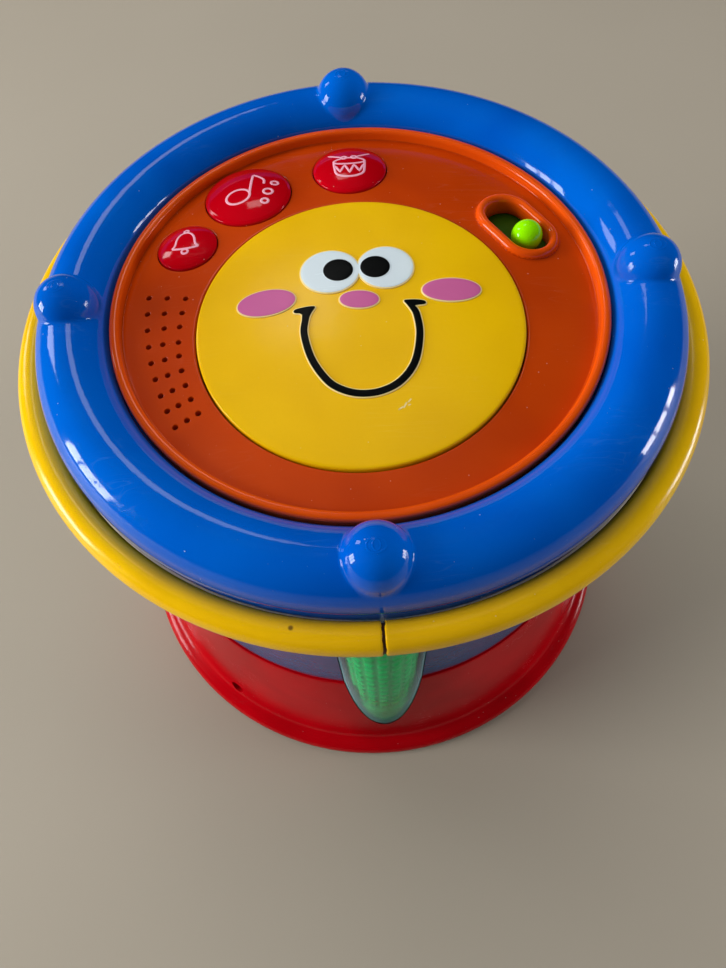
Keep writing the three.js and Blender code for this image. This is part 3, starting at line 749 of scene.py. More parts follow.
# ------------------------------------------------------------------ battery door with softened edges
def build_door():
    g = M()
    out = []
    w, h0, h1, r = 29.0, -23.2, 34.0, 2.0
    for cx, cy, a0 in ((w - r, h1 - r, 0), (-w + r, h1 - r, 90), (-w + r, h0 + r, 180), (w - r, h0 + r, 270)):
        for k in range(7):
            t = rad(a0 + 15 * k)
            out.append((cx + r * math.cos(t), cy + r * math.sin(t)))
    out = np.array(out)
    c = out.mean(0)
    ringat = lambda ins, z: g.add([(x - (x - c[0]) * ins / 29, y - (y - c[1]) * ins / 29, z) for x, y in out])
    rs = [ringat(0.5, 0.4), ringat(0.15, 0.5), ringat(0, 0.8), ringat(0, 2.4), ringat(0.3, 2.7)]
    for p, q in zip(rs, rs[1:]):
        g.strip(p, q)
    g.f += [tuple(rs[0]), tuple(rs[-1])]
    o = raw("battery_door_fine", g)
    ops = [(raw("k1", lathe([(0, -1), (3.3, -1), (3.3, 1.7), (0, 1.7)], 48, 0, 29)), "DIFFERENCE"),
           (raw("k2", lathe([(0, 1), (1.5, 1), (1.5, 4), (0, 4)], 32, 0, 29)), "DIFFERENCE")]
    for i, y in enumerate((-18, -15, -12)):
        q = M()
        st = stadium(0, y, 0, 11.5, 0.6, 8, 2)
        a = q.add([(px, py, -1) for px, py in st])
        b = q.add([(px, py, 0.9) for px, py in st])
        q.strip(a, b)
        q.f += [tuple(a), tuple(b)]
        ops.append((raw("rib%d" % i, q), "DIFFERENCE"))
    cut(o, *ops)
    done(o, RED, nodes=("battery_door",), sharp=30)


build_door()


# ------------------------------------------------------------------ blue body
def build_body():
    prof = rounded([(101.8, 72.35), (104, 72.35), (104, 178), (109.4, 178), (109.4, 180.4), (101.8, 180.4)],
                   [0.4, 0.6, 0.8, 0.5, 0.4, 0.4], 4, True)
    body = raw("body_shell_fine", lathe(prof, 256, loop=True))
    ops = []
    for k, (x, y) in COLUMNS.items():
        s = raw("t_" + k, lathe([(0, 72.6), (20.4, 72.6), (20.4, 178.4), (0, 178.4)], 96, x, y))
        w = raw("u_" + k, lathe([(0, 72.7), (103.6, 72.7), (103.6, 178.3), (0, 178.3)], 256))
        cut(s, (w, "INTERSECT"))
        ops.append((s, "UNION"))
    for i, (x, y) in enumerate(SCREWS):
        ops.append((raw("p_%d" % i, lathe([(0, 30.35), (5, 30.35), (5, 110), (0, 110)], 40, x, y)), "UNION"))
    for k, (x, y) in COLUMNS.items():
        ops.append((raw("v_" + k, lathe([(0, 60), (18.4, 60), (18.4, 177.7), (0, 177.7)], 96, x, y)), "DIFFERENCE"))
    for i, (x, y) in enumerate(SCREWS):
        ops.append((raw("q_%d" % i, lathe([(0, 29), (1.6, 29), (1.6, 46), (0, 46)], 24, x, y)), "DIFFERENCE"))
    cut(body, *ops)
    done(body, BODY, nodes=("body_shell",), sharp=28)


build_body()


# ------------------------------------------------------------------ light columns and their clear tubes
def build_columns():
    nt, pitch, z0, z1 = 216, 8.0, 12.2, 177.4
    flutes = 18
    # each rib is a ledge that faces up, with the wall above it leaning out to the next ledge
    steps = [(0.0, 1.0), (0.03, 0.94), (0.055, 0.45), (0.08, 0.06), (0.11, 0.0), (0.2, 0.03), (0.35, 0.14), (0.5, 0.32), (0.65, 0.54), (0.8, 0.76), (0.92, 0.95)]
    for name, (cx, cy) in COLUMNS.items():
        a0 = math.atan2(cy, cx)
        g = M()
        zs = [(z0, 0.0)] + [(z0 + 2.4 + pitch * (q + a), b) for q in range(int((z1 - z0) / pitch) + 1) for a, b in steps if z0 + 2.4 + pitch * (q + a) < z1 - 0.6] + [(z1, 0.0)]
        rings = []
        inner_r = 13.5
        rings.append(g.add([(cx + inner_r * math.cos(a0 + 2 * math.pi * k / nt), cy + inner_r * math.sin(a0 + 2 * math.pi * k / nt), z0) for k in range(nt)]))
        for z, rib in zs:
            pts = []
            end = min(1.0, (z - z0) / 1.2, (z1 - z) / 1.2)
            for k in range(nt):
                t = 2 * math.pi * (k + 0.5 * nt / flutes) / nt
                panel = min(1.0, max(0.0, 1.9 * (abs(math.sin(math.pi * k * flutes / nt)) - 0.30)))   # 0 on the smooth bands between two ribbed strips
                panel = panel * panel * (3 - 2 * panel)
                r = 14.45 + (0.12 + 0.72 * rib) * panel
                foot = min(1.0, max(0.0, (58 - z) / 16))
                r += (16.25 - r) * foot * foot * (3 - 2 * foot)
                r = 14.3 + (r - 14.3) * max(0.0, end)
                pts.append((cx + r * math.cos(a0 + t), cy + r * math.sin(a0 + t), z))
            rings.append(g.add(pts))
        rings.append(g.add([(cx + inner_r * math.cos(a0 + 2 * math.pi * k / nt), cy + inner_r * math.sin(a0 + 2 * math.pi * k / nt), z1) for k in range(nt)]))
        for a, b in zip(rings, rings[1:]):
            g.strip(a, b)
        g.strip(rings[-1], rings[0])
        o = raw("light_column_%s_fine" % name, g)
        done(o, GREEN, nodes=("light_column_" + name,), sharp=60)
        prof = rounded([(16.6, 12.2), (18, 12.2), (18, 177.4), (16.6, 177.4)], [0.3] * 4, 3, True)
        o = raw("column_cover_%s_fine" % name, lathe(prof, 128, cx, cy, loop=True))
        done(o, CLEAR, nodes=("column_cover_" + name,), sharp=35)


build_columns()


# ------------------------------------------------------------------ yellow bumper, split at the front
def build_bumper():
    R, r, zc = 115.0, 5.0, 183.5
    split = rad(-89.8)
    n, m = 420, 48
    g = M()
    half = 0.30 / R
    lo, hi = split + half, split + 2 * math.pi - half
    # closer steps near the two ends, which are soft and uneven
    us = [lo + (0.0) / R, lo + 0.10 / R, lo + 0.25 / R, lo + 0.45 / R, lo + 0.8 / R, lo + 1.4 / R]
    us += list(np.linspace(lo + 2.4 / R, hi - 2.4 / R, n))
    us += [hi - 1.4 / R, hi - 0.8 / R, hi - 0.45 / R, hi - 0.25 / R, hi - 0.10 / R, hi]
    shr = [0.62, 0.30, 0.12, 0.03, 0, 0]
    rings = []
    wob = rng.normal(0, 1, (2, m))
    wob = np.array([np.convolve(np.r_[w, w, w], np.ones(3) / 3, "same")[m:2 * m] for w in wob]) * 0.42
    for i, u in enumerate(us):
        e = i if i < 6 else (len(us) - 1 - i if i >= len(us) - 6 else 9)
        s = shr[e] if e < 6 else 0
        side = 0 if i < 6 else 1
        pts = []
        for k in range(m):
            t = 2 * math.pi * k / m
            rr = r - s
            du = 0
            if e < 5:
                du = wob[side][k] / R * (1 - e / 5)
                if side == 0:
                    du = abs(du) * 0.9
                else:
                    du = -abs(du) * 0.9
            pts.append(((R + rr * math.cos(t)) * math.cos(u + du), (R + rr * math.cos(t)) * math.sin(u + du), zc + rr * math.sin(t)))
        rings.append(g.add(pts))
    for a, b in zip(rings, rings[1:]):
        g.strip(a, b)
    for end, u in ((rings[0], us[0] + 0.3 / R), (rings[-1], us[-1] - 0.3 / R)):
        c = g.add([(R * math.cos(u), R * math.sin(u), zc)])[0]
        g.fan(end, c)
    o = raw("bumper_ring_fine", g)
    done(o, BUMPER, nodes=("bumper_ring",), sharp=50)
    # a dark brown core that fills the split: painted shade inside the narrow gap
    g = M()
    rings = []
    for j in range(9):
        u = split + (-1.6 + 3.2 * j / 8) / R
        rr = 4.35 + 0.1 * math.sin(j * 2.1)
        rings.append(g.add([((R + rr * math.cos(2 * math.pi * k / 40)) * math.cos(u), (R + rr * math.cos(2 * math.pi * k / 40)) * math.sin(u), zc + rr * math.sin(2 * math.pi * k / 40)) for k in range(40)]))
    for a, b in zip(rings, rings[1:]):
        g.strip(a, b)
    g.f += [tuple(rings[0]), tuple(rings[-1])]
    o = raw("bumper_split_shade_core", g)
    done(o, SPLIT_SHADE, sharp=50)


build_bumper()


# ------------------------------------------------------------------ blue top ring with its four balls
BALL_R, BALL_CR, BALL_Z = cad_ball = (10.55, 97.3, 200.8)


def build_ring():
    R, r, zc = 97.4, 12.5, 192.0
    uk = []
    for q in range(4):
        base = q * math.pi / 2
        for th in np.linspace(-90, 90, 41):
            uk.append(base + BALL_R * math.sin(rad(th)) / R)
        for s in (10.7, 10.95, 11.3, 11.8, 12.5, 13.4, 14.6, 16.2):
            uk += [base + s / R, base - s / R]
        gap = math.pi / 2 - 2 * 17.8 / R
        for k in range(46):
            uk.append(base + 17.8 / R + gap * k / 45)
    uk = sorted(set(round(u % (2 * math.pi), 7) for u in uk))
    uk = np.array(uk)
    # outer tube, -13..194 degrees, closer round the top where the balls rise
    vs = list(np.linspace(-13, 24, 12)) + list(np.linspace(26, 154, 96)) + list(np.linspace(156, 194, 12))
    inner = 12.5 - 2.4
    centres = []
    for q in range(4):
        a = q * math.pi / 2
        centres.append(np.array([BALL_CR * math.cos(a), BALL_CR * math.sin(a), BALL_Z]))

    def surface(u, vdeg):
        v = np.radians(vdeg)
        c = np.stack([R * np.cos(u), R * np.sin(u), np.full_like(u, zc)], -1)
        d = np.stack([np.cos(v) * np.cos(u), np.cos(v) * np.sin(u), np.full_like(u, np.sin(v))], -1)

        def F(t):
            p = c + d * t[:, None]
            a = t - r
            b = np.min([np.linalg.norm(p - k, axis=1) for k in centres], axis=0) - BALL_R
            k_ = 0.9
            h = np.clip(0.5 + 0.5 * (b - a) / k_, 0, 1)
            return b * (1 - h) + a * h - k_ * h * (1 - h)

        t_hi = np.full_like(u, 30.0)
        t_lo = np.full_like(u, r - 0.5)
        # march in from outside to the first crossing
        t = t_hi.copy()
        live = np.ones(len(u), bool)
        for _ in range(400):
            f = F(t)
            live = f > 1e-4
            if not live.any():
                break
            t = np.where(live, t - np.maximum(f * 0.5, 0.004), t)
            t = np.maximum(t, t_lo)
            if (t[live] <= t_lo[live] + 1e-9).all():
                break
        return c + d * t[:, None]

    g = M()
    rings = [g.add([(109.6 * math.cos(u), 109.6 * math.sin(u), z) for u in uk]) for z in (180.75, 183.0, 186.0)]
    for v in vs:
        rings.append(g.add(surface(uk, v)))
    rest = [(80.6, 188.9), (80.6, 186.5), (89.1, 186.5)]
    rest = [(84.9, 188.9), (81.0, 188.9), (80.6, 188.5), (80.6, 186.9), (81.0, 186.5), (88.9, 186.5)]
    for i in range(0, 12):
        a = rad(211 - 226 * i / 11)
        rest.append((R + inner * math.cos(a), zc + inner * math.sin(a)))
    rest += [(107.3, 188.0), (107.3, 181.1), (107.6, 180.75), (109.3, 180.75)]
    for rr, z in rest:
        rings.append(g.add([(rr * math.cos(u), rr * math.sin(u), z) for u in uk]))
    for a, b in zip(rings, rings[1:]):
        g.strip(a, b)
    g.strip(rings[-1], rings[0])
    o = raw("top_ring_fine", g)
    done(o, BLUE, nodes=("top_ring",), sharp=50)
    # faint raised oval near the top of each ball
    for q, c in enumerate(centres):
        g = M()
        n = 64
        for (ra, rb, wd) in ((2.7, 2.2, 0.26), (1.1, 1.6, 0.2)):
            rr = []
            for off, up_ in ((-wd * 1.6, -0.05), (-wd, 0.035), (0, 0.075), (wd, 0.035), (wd * 1.6, -0.05), (0, -0.3)):
                pts = []
                for k in range(n):
                    t = 2 * math.pi * k / n
                    x, y = (ra + off) * math.cos(t), (rb + off) * math.sin(t) - 0.3
                    z = math.sqrt(BALL_R**2 - x * x - y * y)
                    p = np.array([x, y, z]) / BALL_R * (BALL_R + up_)
                    pts.append(tuple(c + p))
                rr.append(g.add(pts))
            for a, b in zip(rr, rr[1:]):
                g.strip(a, b)
            g.strip(rr[-1], rr[0])
        o = raw("ball_mark_%d" % (q + 1), g)
        done(o, BLUE, sharp=60)


build_ring()


# ------------------------------------------------------------------ orange domed head
def smax(a, b, k):
    h = max(k - abs(a - b), 0) / k
    return max(a, b) + h * h * k / 4


def build_head():
    rings, role = [], []

    def addring(pts, kind):
        rings.append(np.asarray(pts))
        role.append(kind)
        return len(rings) - 1

    outer = addring(circle(0, 0, 80.6, 256), ("edge", 0))
    pad0 = addring(circle(*PAD, 55.0, 256), ("pad", 0))
    extra = []
    fil = {}
    for d in (0.06, 0.16, 0.32, 0.55, 0.9):
        extra.append(circle(*PAD, 55.0 + d, 256))
    holes = [pad0]
    hole_info = []
    for k, (x, y, r) in BUTTONS.items():
        i = addring(circle(x, y, r + 0.3, 128), ("button", k))
        holes.append(i)
        hole_info.append((i, x, y, r + 0.3, 0.45))
        for d in (0.05, 0.13, 0.26, 0.45, 0.8):
            extra.append(circle(x, y, r + 0.3 + d, 128))
    for j, (x, y) in enumerate(HOLES):
        i = addring(circle(x, y, 0.95, 20), ("sound", j))
        holes.append(i)
        hole_info.append((i, x, y, 0.95, 0.22))
        for d in (0.06, 0.14, 0.26, 0.6):
            extra.append(circle(x, y, 0.95 + d, 20))
    sx, sy, sd = SLOT
    s0 = addring(stadium(sx, sy, sd, 6, 7.3), ("slot", 0))
    holes.append(s0)
    for d in (0.05, 0.15, 0.35, 0.65, 1.0, 1.4, 1.85, 2.3, 2.7, 3.05, 3.35, 3.55, 3.7, 3.85, 4.0, 4.3, 4.8):
        extra.append(stadium(sx, sy, sd, 6, 7.3 + d))
    for d in (80.35, 79.9, 79.3, 78.4, 77.2):
        extra.append(circle(0, 0, d, 256))
    extra = np.vstack(extra)
    # drop extra points that fall into another hole or outside
    keep = inside(rings[outer], extra)
    for h in holes:
        keep &= ~inside(rings[h], extra)
    extra = extra[keep]
    P, T = flat_mesh(rings, outer, holes, extra, 1.9)

    c, s = math.cos(rad(sd)), math.sin(rad(sd))

    def slot_d(x, y):
        u, v = (x - sx) * c + (y - sy) * s, -(x - sx) * s + (y - sy) * c
        u = max(abs(u) - 6, 0)
        return math.hypot(u, v) - 7.3

    def top(x, y):
        z = head_z(x, y)
        d = math.hypot(x - PAD[0], y - PAD[1]) - 55.0
        if d < 0.6:
            q = max(0.0, 0.6 - d)
            z -= 0.6 - math.sqrt(max(0.36 - q * q, 0))
        for i, hx, hy, hr, fr in hole_info:
            d = math.hypot(x - hx, y - hy) - hr
            if d < fr:
                q = min(fr, fr - d)
                z -= fr - math.sqrt(max(fr * fr - q * q, 0))
        d = slot_d(x, y)
        if d < 5:
            bead = 2.5 * math.sqrt(max(0.0, 1 - ((d - 1.88) / 1.93) ** 2)) if abs(d - 1.88) < 1.93 else -0.6 * (abs(d - 1.88) - 1.93)
            z += smax(bead, 0.0, 0.35) if d > 1.88 else bead
        return z

    g = M()
    tp = g.add([(x, y, top(x, y)) for x, y in P])
    for t in T:
        g.f.append(tuple(tp[i] for i in t))
    start = []
    i0 = 0
    for r in rings:
        start.append(i0)
        i0 += len(r)
    topring = {i: [tp[start[i] + k] for k in range(len(rings[i]))] for i in range(len(rings))}

    # underside
    rings2, map2 = [], {}
    for i, rr in enumerate(rings):
        kind = role[i][0]
        if kind == "pad":
            q = circle(*PAD, 57.2, 256)
        elif kind == "button":
            x, y, r = BUTTONS[role[i][1]]
            q = circle(x, y, r + 0.3, 128)
        elif kind == "slot":
            q = stadium(sx, sy, sd, 6, 7.3 + 1.7)
        else:
            q = rr
        rings2.append(q)
    P2, T2 = flat_mesh(rings2, outer, holes, np.zeros((0, 2)), 4.0)
    bt = g.add([(x, y, head_z(x, y) - 2.4) for x, y in P2])
    for t in T2:
        g.f.append(tuple(bt[i] for i in reversed(t)))
    start2 = []
    i0 = 0
    for r in rings2:
        start2.append(i0)
        i0 += len(r)
    botring = {i: [bt[start2[i] + k] for k in range(len(rings2[i]))] for i in range(len(rings2))}

    for i in range(len(rings)):
        kind = role[i][0]
        a, b = topring[i], botring[i]
        if kind == "sound":
            g.strip(a, b)
        elif kind == "edge":
            hz = head_z(80.6, 0)
            prof = [(80.72, hz + 0.03), (80.85, hz + 0.12), (80.95, hz + 0.3), (81.0, hz + 0.6)]
            prof += rounded([(81.0, hz + 0.6), (81.15, 197.75), (84.5, 197.75), (84.5, 189.25), (81.6, 189.25), (81.2, 191.0)],
                            [0, 1.9, 2.0, 0.4, 0.3, 0], 8)[1:]
            prev = a
            for r_, z_ in prof:
                cur = g.add([(r_ * math.cos(2 * math.pi * k / 256), r_ * math.sin(2 * math.pi * k / 256), z_) for k in range(256)])
                g.strip(prev, cur)
                prev = cur
            g.strip(prev, b)
        elif kind == "pad":
            prev = a
            for r_, z_ in ((55.0, 190.0), (55.0, 186.6), (54.6, 186.1), (54.0, 186.0), (30, 186.0)):
                cur = g.add([(x, y, z_) for x, y in circle(*PAD, r_, 256)])
                g.strip(prev, cur)
                prev = cur
            g.fan(prev, g.add([(PAD[0], PAD[1], 186.0)])[0])
            prev = b
            for r_, z_ in ((57.2, 190.0), (57.2, 184.3), (56.9, 184.0), (30, 184.0)):
                cur = g.add([(x, y, z_) for x, y in circle(*PAD, r_, 256)])
                g.strip(prev, cur)
                prev = cur
            g.fan(prev, g.add([(PAD[0], PAD[1], 184.0)])[0])
        elif kind == "button":
            g.strip(a, b)
        elif kind == "slot":
            prev = a
            for d, z_ in ((0.0, 193.0), (0.0, 191.4), (0.15, 191.15), (1.5, 191.15), (1.7, 191.35)):
                cur = g.add([(px, py, z_) for px, py in stadium(sx, sy, sd, 6, 7.3 + d)])
                g.strip(prev, cur)
                prev = cur
            g.strip(prev, b)
    o = raw("head_panel_fine", g)
    done(o, ORANGE, nodes=("head_panel",), sharp=40)
    # the lip and the bead round the slot stand proud; they get a lighter copy of the orange, painted light for the
    # raised parts
    o.data.materials.append(ORANGE_PAINTED_LIGHT)
    for f in o.data.polygons:
        x, y = f.center.x / MM, f.center.y / MM
        if math.hypot(x, y) > 80.9 or -0.4 < slot_d(x, y) < 3.75:
            f.material_index = 1


build_head()


# ------------------------------------------------------------------ yellow face pad
def pad_z(x, y):
    return head_z(x, y) + 0.8


def build_pad():
    g = M()
    n = 256
    R = 54.5
    rings = []

    def ringz(r, dz):
        return g.add([(x, y, pad_z(x, y) + dz) for x, y in circle(*PAD, r, n)])

    c0 = g.add([(PAD[0], PAD[1], pad_z(*PAD))])[0]
    for r in (3, 8, 14, 20, 26, 32, 38, 44, 49, 52, 53.3):
        rings.append(ringz(r, 0))
    for k in range(1, 7):
        t = rad(15 * k)
        rings.append(ringz(R - 0.8 + 0.8 * math.sin(t), -0.8 + 0.8 * math.cos(t)))
    flat = lambda r, z: g.add([(x, y, z) for x, y in circle(*PAD, r, n)])
    rings += [flat(R, 193.0), flat(R, 191.8), flat(R - 0.3, 191.5), flat(R - 1.7, 191.5), flat(R - 2, 191.8)]
    for r, d in ((R - 2, -2.9), (R - 2.4, -2.5), (50, -2.3), (47, -1.7), (38, -1.7), (29, -1.7), (20, -2.3), (5.6, -2.4), (5.0, -2.8)):
        rings.append(ringz(r, d))
    rings += [flat(5.0, 191.8), flat(4.7, 191.4)]
    g.fan(rings[0], c0)
    for a, b in zip(rings, rings[1:]):
        g.strip(a, b)
    g.fan(rings[-1], g.add([(PAD[0], PAD[1], 191.4)])[0])
    o = raw("face_pad_fine", g)
    done(o, YELLOW, body="pad", nodes=("face_pad",), sharp=40)


build_pad()


def offset(poly, d):
    """Moves a closed outline inwards by d (negative: outwards). The outline runs counterclockwise."""
    p = np.asarray(poly, float)
    nx, pv = np.roll(p, -1, 0), np.roll(p, 1, 0)
    e1, e2 = p - pv, nx - p
    e1 /= np.linalg.norm(e1, axis=1)[:, None] + 1e-12
    e2 /= np.linalg.norm(e2, axis=1)[:, None] + 1e-12
    n1, n2 = np.c_[-e1[:, 1], e1[:, 0]], np.c_[-e2[:, 1], e2[:, 0]]
    b = n1 + n2
    b /= np.linalg.norm(b, axis=1)[:, None] + 1e-12
    k = np.clip((b * n1).sum(1), 0.5, 1)
    return p + b * (d / k)[:, None]


def ccw(poly):
    p = np.asarray(poly, float)
    x, y = p[:, 0], p[:, 1]
    a = (x * np.roll(y, -1) - np.roll(x, -1) * y).sum()
    return p if a > 0 else p[::-1]


def smooth_loop(poly, step):
    """Points of even spacing on the closed outline."""
    p = np.asarray(poly, float)
    q = np.vstack([p, p[:1]])
    d = np.r_[0, np.cumsum(np.linalg.norm(np.diff(q, axis=0), axis=1))]
    n = max(12, int(d[-1] / step))
    s = np.linspace(0, d[-1], n, endpoint=False)
    return np.c_[np.interp(s, d, q[:, 0]), np.interp(s, d, q[:, 1])]


def inlay(name, poly, surf, h0, h1, soft, mat, body, spacing=1.2):
    """A raised piece of the given outline, from h0 to h1 over the surface, with a rounded upper edge."""
    poly = ccw(poly)
    g = M()
    steps = [(0, h0), (0, h1 - soft)]
    for k in (1, 2, 3):
        t = rad(30 * k)
        steps.append((soft * (1 - math.cos(t)), h1 - soft + soft * math.sin(t)))
    rings = []
    for d, h in steps:
        q = offset(poly, d)
        rings.append((q, g.add([(x, y, surf(x, y) + h) for x, y in q])))
    for (_, a), (_, b) in zip(rings, rings[1:]):
        g.strip(a, b)
    for (q, ids), h, flip in ((rings[-1], h1, False), (rings[0], h0, True)):
        P, T = flat_mesh([q], 0, [], np.zeros((0, 2)), spacing)
        extra_ids = g.add([(x, y, surf(x, y) + h) for x, y in P[len(q):]])
        ids2 = ids + extra_ids
        for t in T:
            tt = tuple(ids2[i] for i in t)
            g.f.append(tt[::-1] if flip else tt)
    o = raw(name, g)
    return done(o, mat, body=body, sharp=60)


def ellipse(cx, cy, a, b, deg=0, n=96):
    c, s = math.cos(rad(deg)), math.sin(rad(deg))
    return np.array([(cx + a * math.cos(t) * c - b * math.sin(t) * s, cy + a * math.cos(t) * s + b * math.sin(t) * c)
                     for t in np.linspace(0, 2 * math.pi, n, endpoint=False)])


def merged(p, q):
    """Outline of two overlapping outlines p (left) and q (right)."""
    def run(a, other):
        out = ~inside(other, a)
        k = next(i for i in range(len(a)) if out[i] and not out[i - 1])
        a = np.roll(a, -k, 0)
        out = np.roll(out, -k)
        return a[out]
    return np.vstack([run(p, q), run(q, p)])


def catmull(pts, n=12):
    p = [np.array(v, float) for v in pts]
    p = [2 * p[0] - p[1]] + p + [2 * p[-1] - p[-2]]
    out = []
    for i in range(1, len(p) - 2):
        a, b, c, d = p[i - 1], p[i], p[i + 1], p[i + 2]
        for k in range(n):
            t = k / n
            out.append(0.5 * (2 * b + (c - a) * t + (2 * a - 5 * b + 4 * c - d) * t * t + (-a + 3 * b - 3 * c + d) * t**3))
    out.append(p[-2])
    return np.array(out)


def build_face():
    el = ellipse(-8.95, 7.3, 10.35, 9.75, 3)
    er = ellipse(10.0, 7.7, 9.85, 9.6, 0)
    edge = merged(el, er)
    white = merged(ellipse(-8.95, 7.3, 9.9, 9.3, 3), ellipse(10.0, 7.7, 9.4, 9.15, 0))
    # the cream rims round the prints are painted highlight on the raised yellow sides
    inlay("eyes_edge", edge, pad_z, -0.25, 0.42, 0.14, CREAM_HIGHLIGHT_AND_NICK, "pad")
    inlay("eyes_white", white, pad_z, 0.3, 0.55, 0.10, WHITE, "pad")
    for nm, (x, y, a, b) in {"left": (-6.12, 7.46, 5.1, 4.9), "right": (6.48, 7.83, 5.05, 4.85)}.items():
        inlay("pupil_edge_" + nm, ellipse(x, y, a + 0.42, b + 0.42), pad_z, 0.45, 0.60, 0.05, WHITE, "pad")
        inlay("pupil_" + nm, ellipse(x, y, a, b), pad_z, 0.5, 0.68, 0.06, INK, "pad")
    for nm, (x, y, a, b, t) in {"nose": (0.34, -5.7, 6.9, 4.05, -5), "cheek_left": (-30.64, -3.88, 10.2, 5.75, 6),
                                "cheek_right": (31.26, -3.53, 10.2, 5.25, -1)}.items():
        inlay(nm + "_edge", ellipse(x, y, a, b, t), pad_z, -0.25, 0.34, 0.14, CREAM_HIGHLIGHT_AND_NICK, "pad")
        inlay(nm, ellipse(x, y, a - 0.42, b - 0.42, t), pad_z, 0.25, 0.45, 0.08, PINK, "pad")
    line = catmull([(-17.6, -11.6), (-18.29, -18.21), (-16.1, -28.13), (-11.58, -36.38), (-6.92, -40.23), (-1.14, -42.09),
                    (5.47, -41.56), (11.7, -38.22), (16.57, -31.48), (18.98, -21.4), (18.76, -13.7), (17.7, -10.2)], 10)
    t = np.gradient(line, axis=0)
    t /= np.linalg.norm(t, axis=1)[:, None]
    nrm = np.c_[t[:, 1], -t[:, 0]]                       # to the outside of the U
    w = 1.12 + 0.1 * np.sin(np.linspace(0, math.pi, len(line)))
    out_side, in_side = line + nrm * w[:, None], line - nrm * w[:, None]
    # right and left ticks at the two ends of the mouth
    right_tick = [(18.4, -9.75), (19.6, -9.55), (21.3, -9.4), (22.2, -8.95), (22.0, -8.1), (20.8, -7.55), (18.5, -7.2),
                  (16.2, -7.15), (15.2, -7.3), (15.0, -7.8), (15.5, -8.6), (16.3, -10.0)]
    left_tick = [(-16.3, -11.3), (-15.5, -9.6), (-14.6, -8.2), (-14.4, -7.5), (-15.2, -7.2), (-17.5, -7.3), (-20.0, -7.7),
                 (-21.3, -8.2), (-21.6, -9.0), (-20.8, -9.55), (-19.6, -9.7), (-18.8, -10.4)]
    outline = np.vstack([out_side[2:-3], catmull(right_tick, 4), in_side[::-1][3:-2], catmull(left_tick, 4)])
    outline = ccw(smooth_loop(outline, 0.45))
    inlay("smile_edge", smooth_loop(offset(outline, -0.36), 0.5), pad_z, -0.25, 0.36, 0.12, CREAM_HIGHLIGHT_AND_NICK, "pad", spacing=1.0)
    inlay("smile", outline, pad_z, 0.25, 0.50, 0.08, INK, "pad", spacing=1.0)
    for i, (x, y, deg, half, r) in enumerate(((10.7, -47.9, 35, 0.7, 0.24), (12.1, -46.9, 60, 0.9, 0.26), (13.6, -45.4, 50, 0.6, 0.22), (13.4, -46.9, 20, 0.3, 0.2))):
        inlay("pad_nick_%d" % (i + 1), stadium(x, y, deg, half, r, 6, 3), pad_z, -0.15, 0.05, 0.03, CREAM_HIGHLIGHT_AND_NICK, "pad", spacing=0.5)


build_face()


# ------------------------------------------------------------------ buttons
def build_buttons():
    for name, (x0, y0, r) in BUTTONS.items():
        base = head_z(x0, y0)
        lean = lambda x, y: -(x0 * (x - x0) + y0 * (y - y0)) / HEAD_CURVE
        prof = [(0, base + 3.4)]
        for k in range(1, 25):
            s = k / 24 * (1 - 0.9 / r)
            prof.append((r * s, base + 0.5 + 2.9 * (1 - s**2.2)))
        zr = prof[-1][1]
        for k in range(1, 6):
            t = rad(18 * k)
            prof.append((r - 0.9 + 0.9 * math.sin(t), zr - 0.22 - 0.75 * (1 - math.cos(t))))
        prof += [(r, base - 2.9), (r - 0.3, base - 3.2), (r - 1.7, base - 3.2), (r - 2, base - 2.9), (r - 2, base - 1.7), (r - 2.4, base - 1.4), (3.4, base - 1.4), (3, base - 1.8)]
        prof += [(3, 182.9), (2.6, 182.5), (0, 182.5)]
        g = lathe(prof, 128, x0, y0, zf=lambda x, y: lean(x, y))
        o = raw(name + "_button_fine", g)
        done(o, BUTTON, body=name + "_button_cap", nodes=(name + "_button",), sharp=40)

        def surf(x, y, r=r, base=base, x0=x0, y0=y0, lean=lean):
            s = min(1, math.hypot(x - x0, y - y0) / r)
            return base + 0.5 + 2.9 * (1 - s**2.2) + lean(x, y)

        icons(name, x0, y0, r, surf)


def tube_along(g, pts, w, h, surf, closed=False, m=8):
    """A flat rounded line of width w and height h that follows the surface."""
    p = np.asarray(pts, float)
    n = len(p)
    if closed:
        t = np.roll(p, -1, 0) - np.roll(p, 1, 0)
    else:
        t = np.gradient(p, axis=0)
    t /= np.linalg.norm(t, axis=1)[:, None] + 1e-12
    nn = np.c_[-t[:, 1], t[:, 0]]
    rings = []
    for i in range(n):
        ww = w
        if not closed and i in (0, n - 1):
            ww = w * 0.45
        row = []
        for k in range(m):
            a = 2 * math.pi * k / m
            q = p[i] + nn[i] * ww / 2 * math.cos(a)
            row.append((q[0], q[1], surf(*q) + h * math.sin(a) * (ww / w)))
        rings.append(g.add(row))
    for a, b in zip(rings, rings[1:]):
        g.strip(a, b)
    if closed:
        g.strip(rings[-1], rings[0])
    else:
        g.f += [tuple(rings[0]), tuple(rings[-1])]


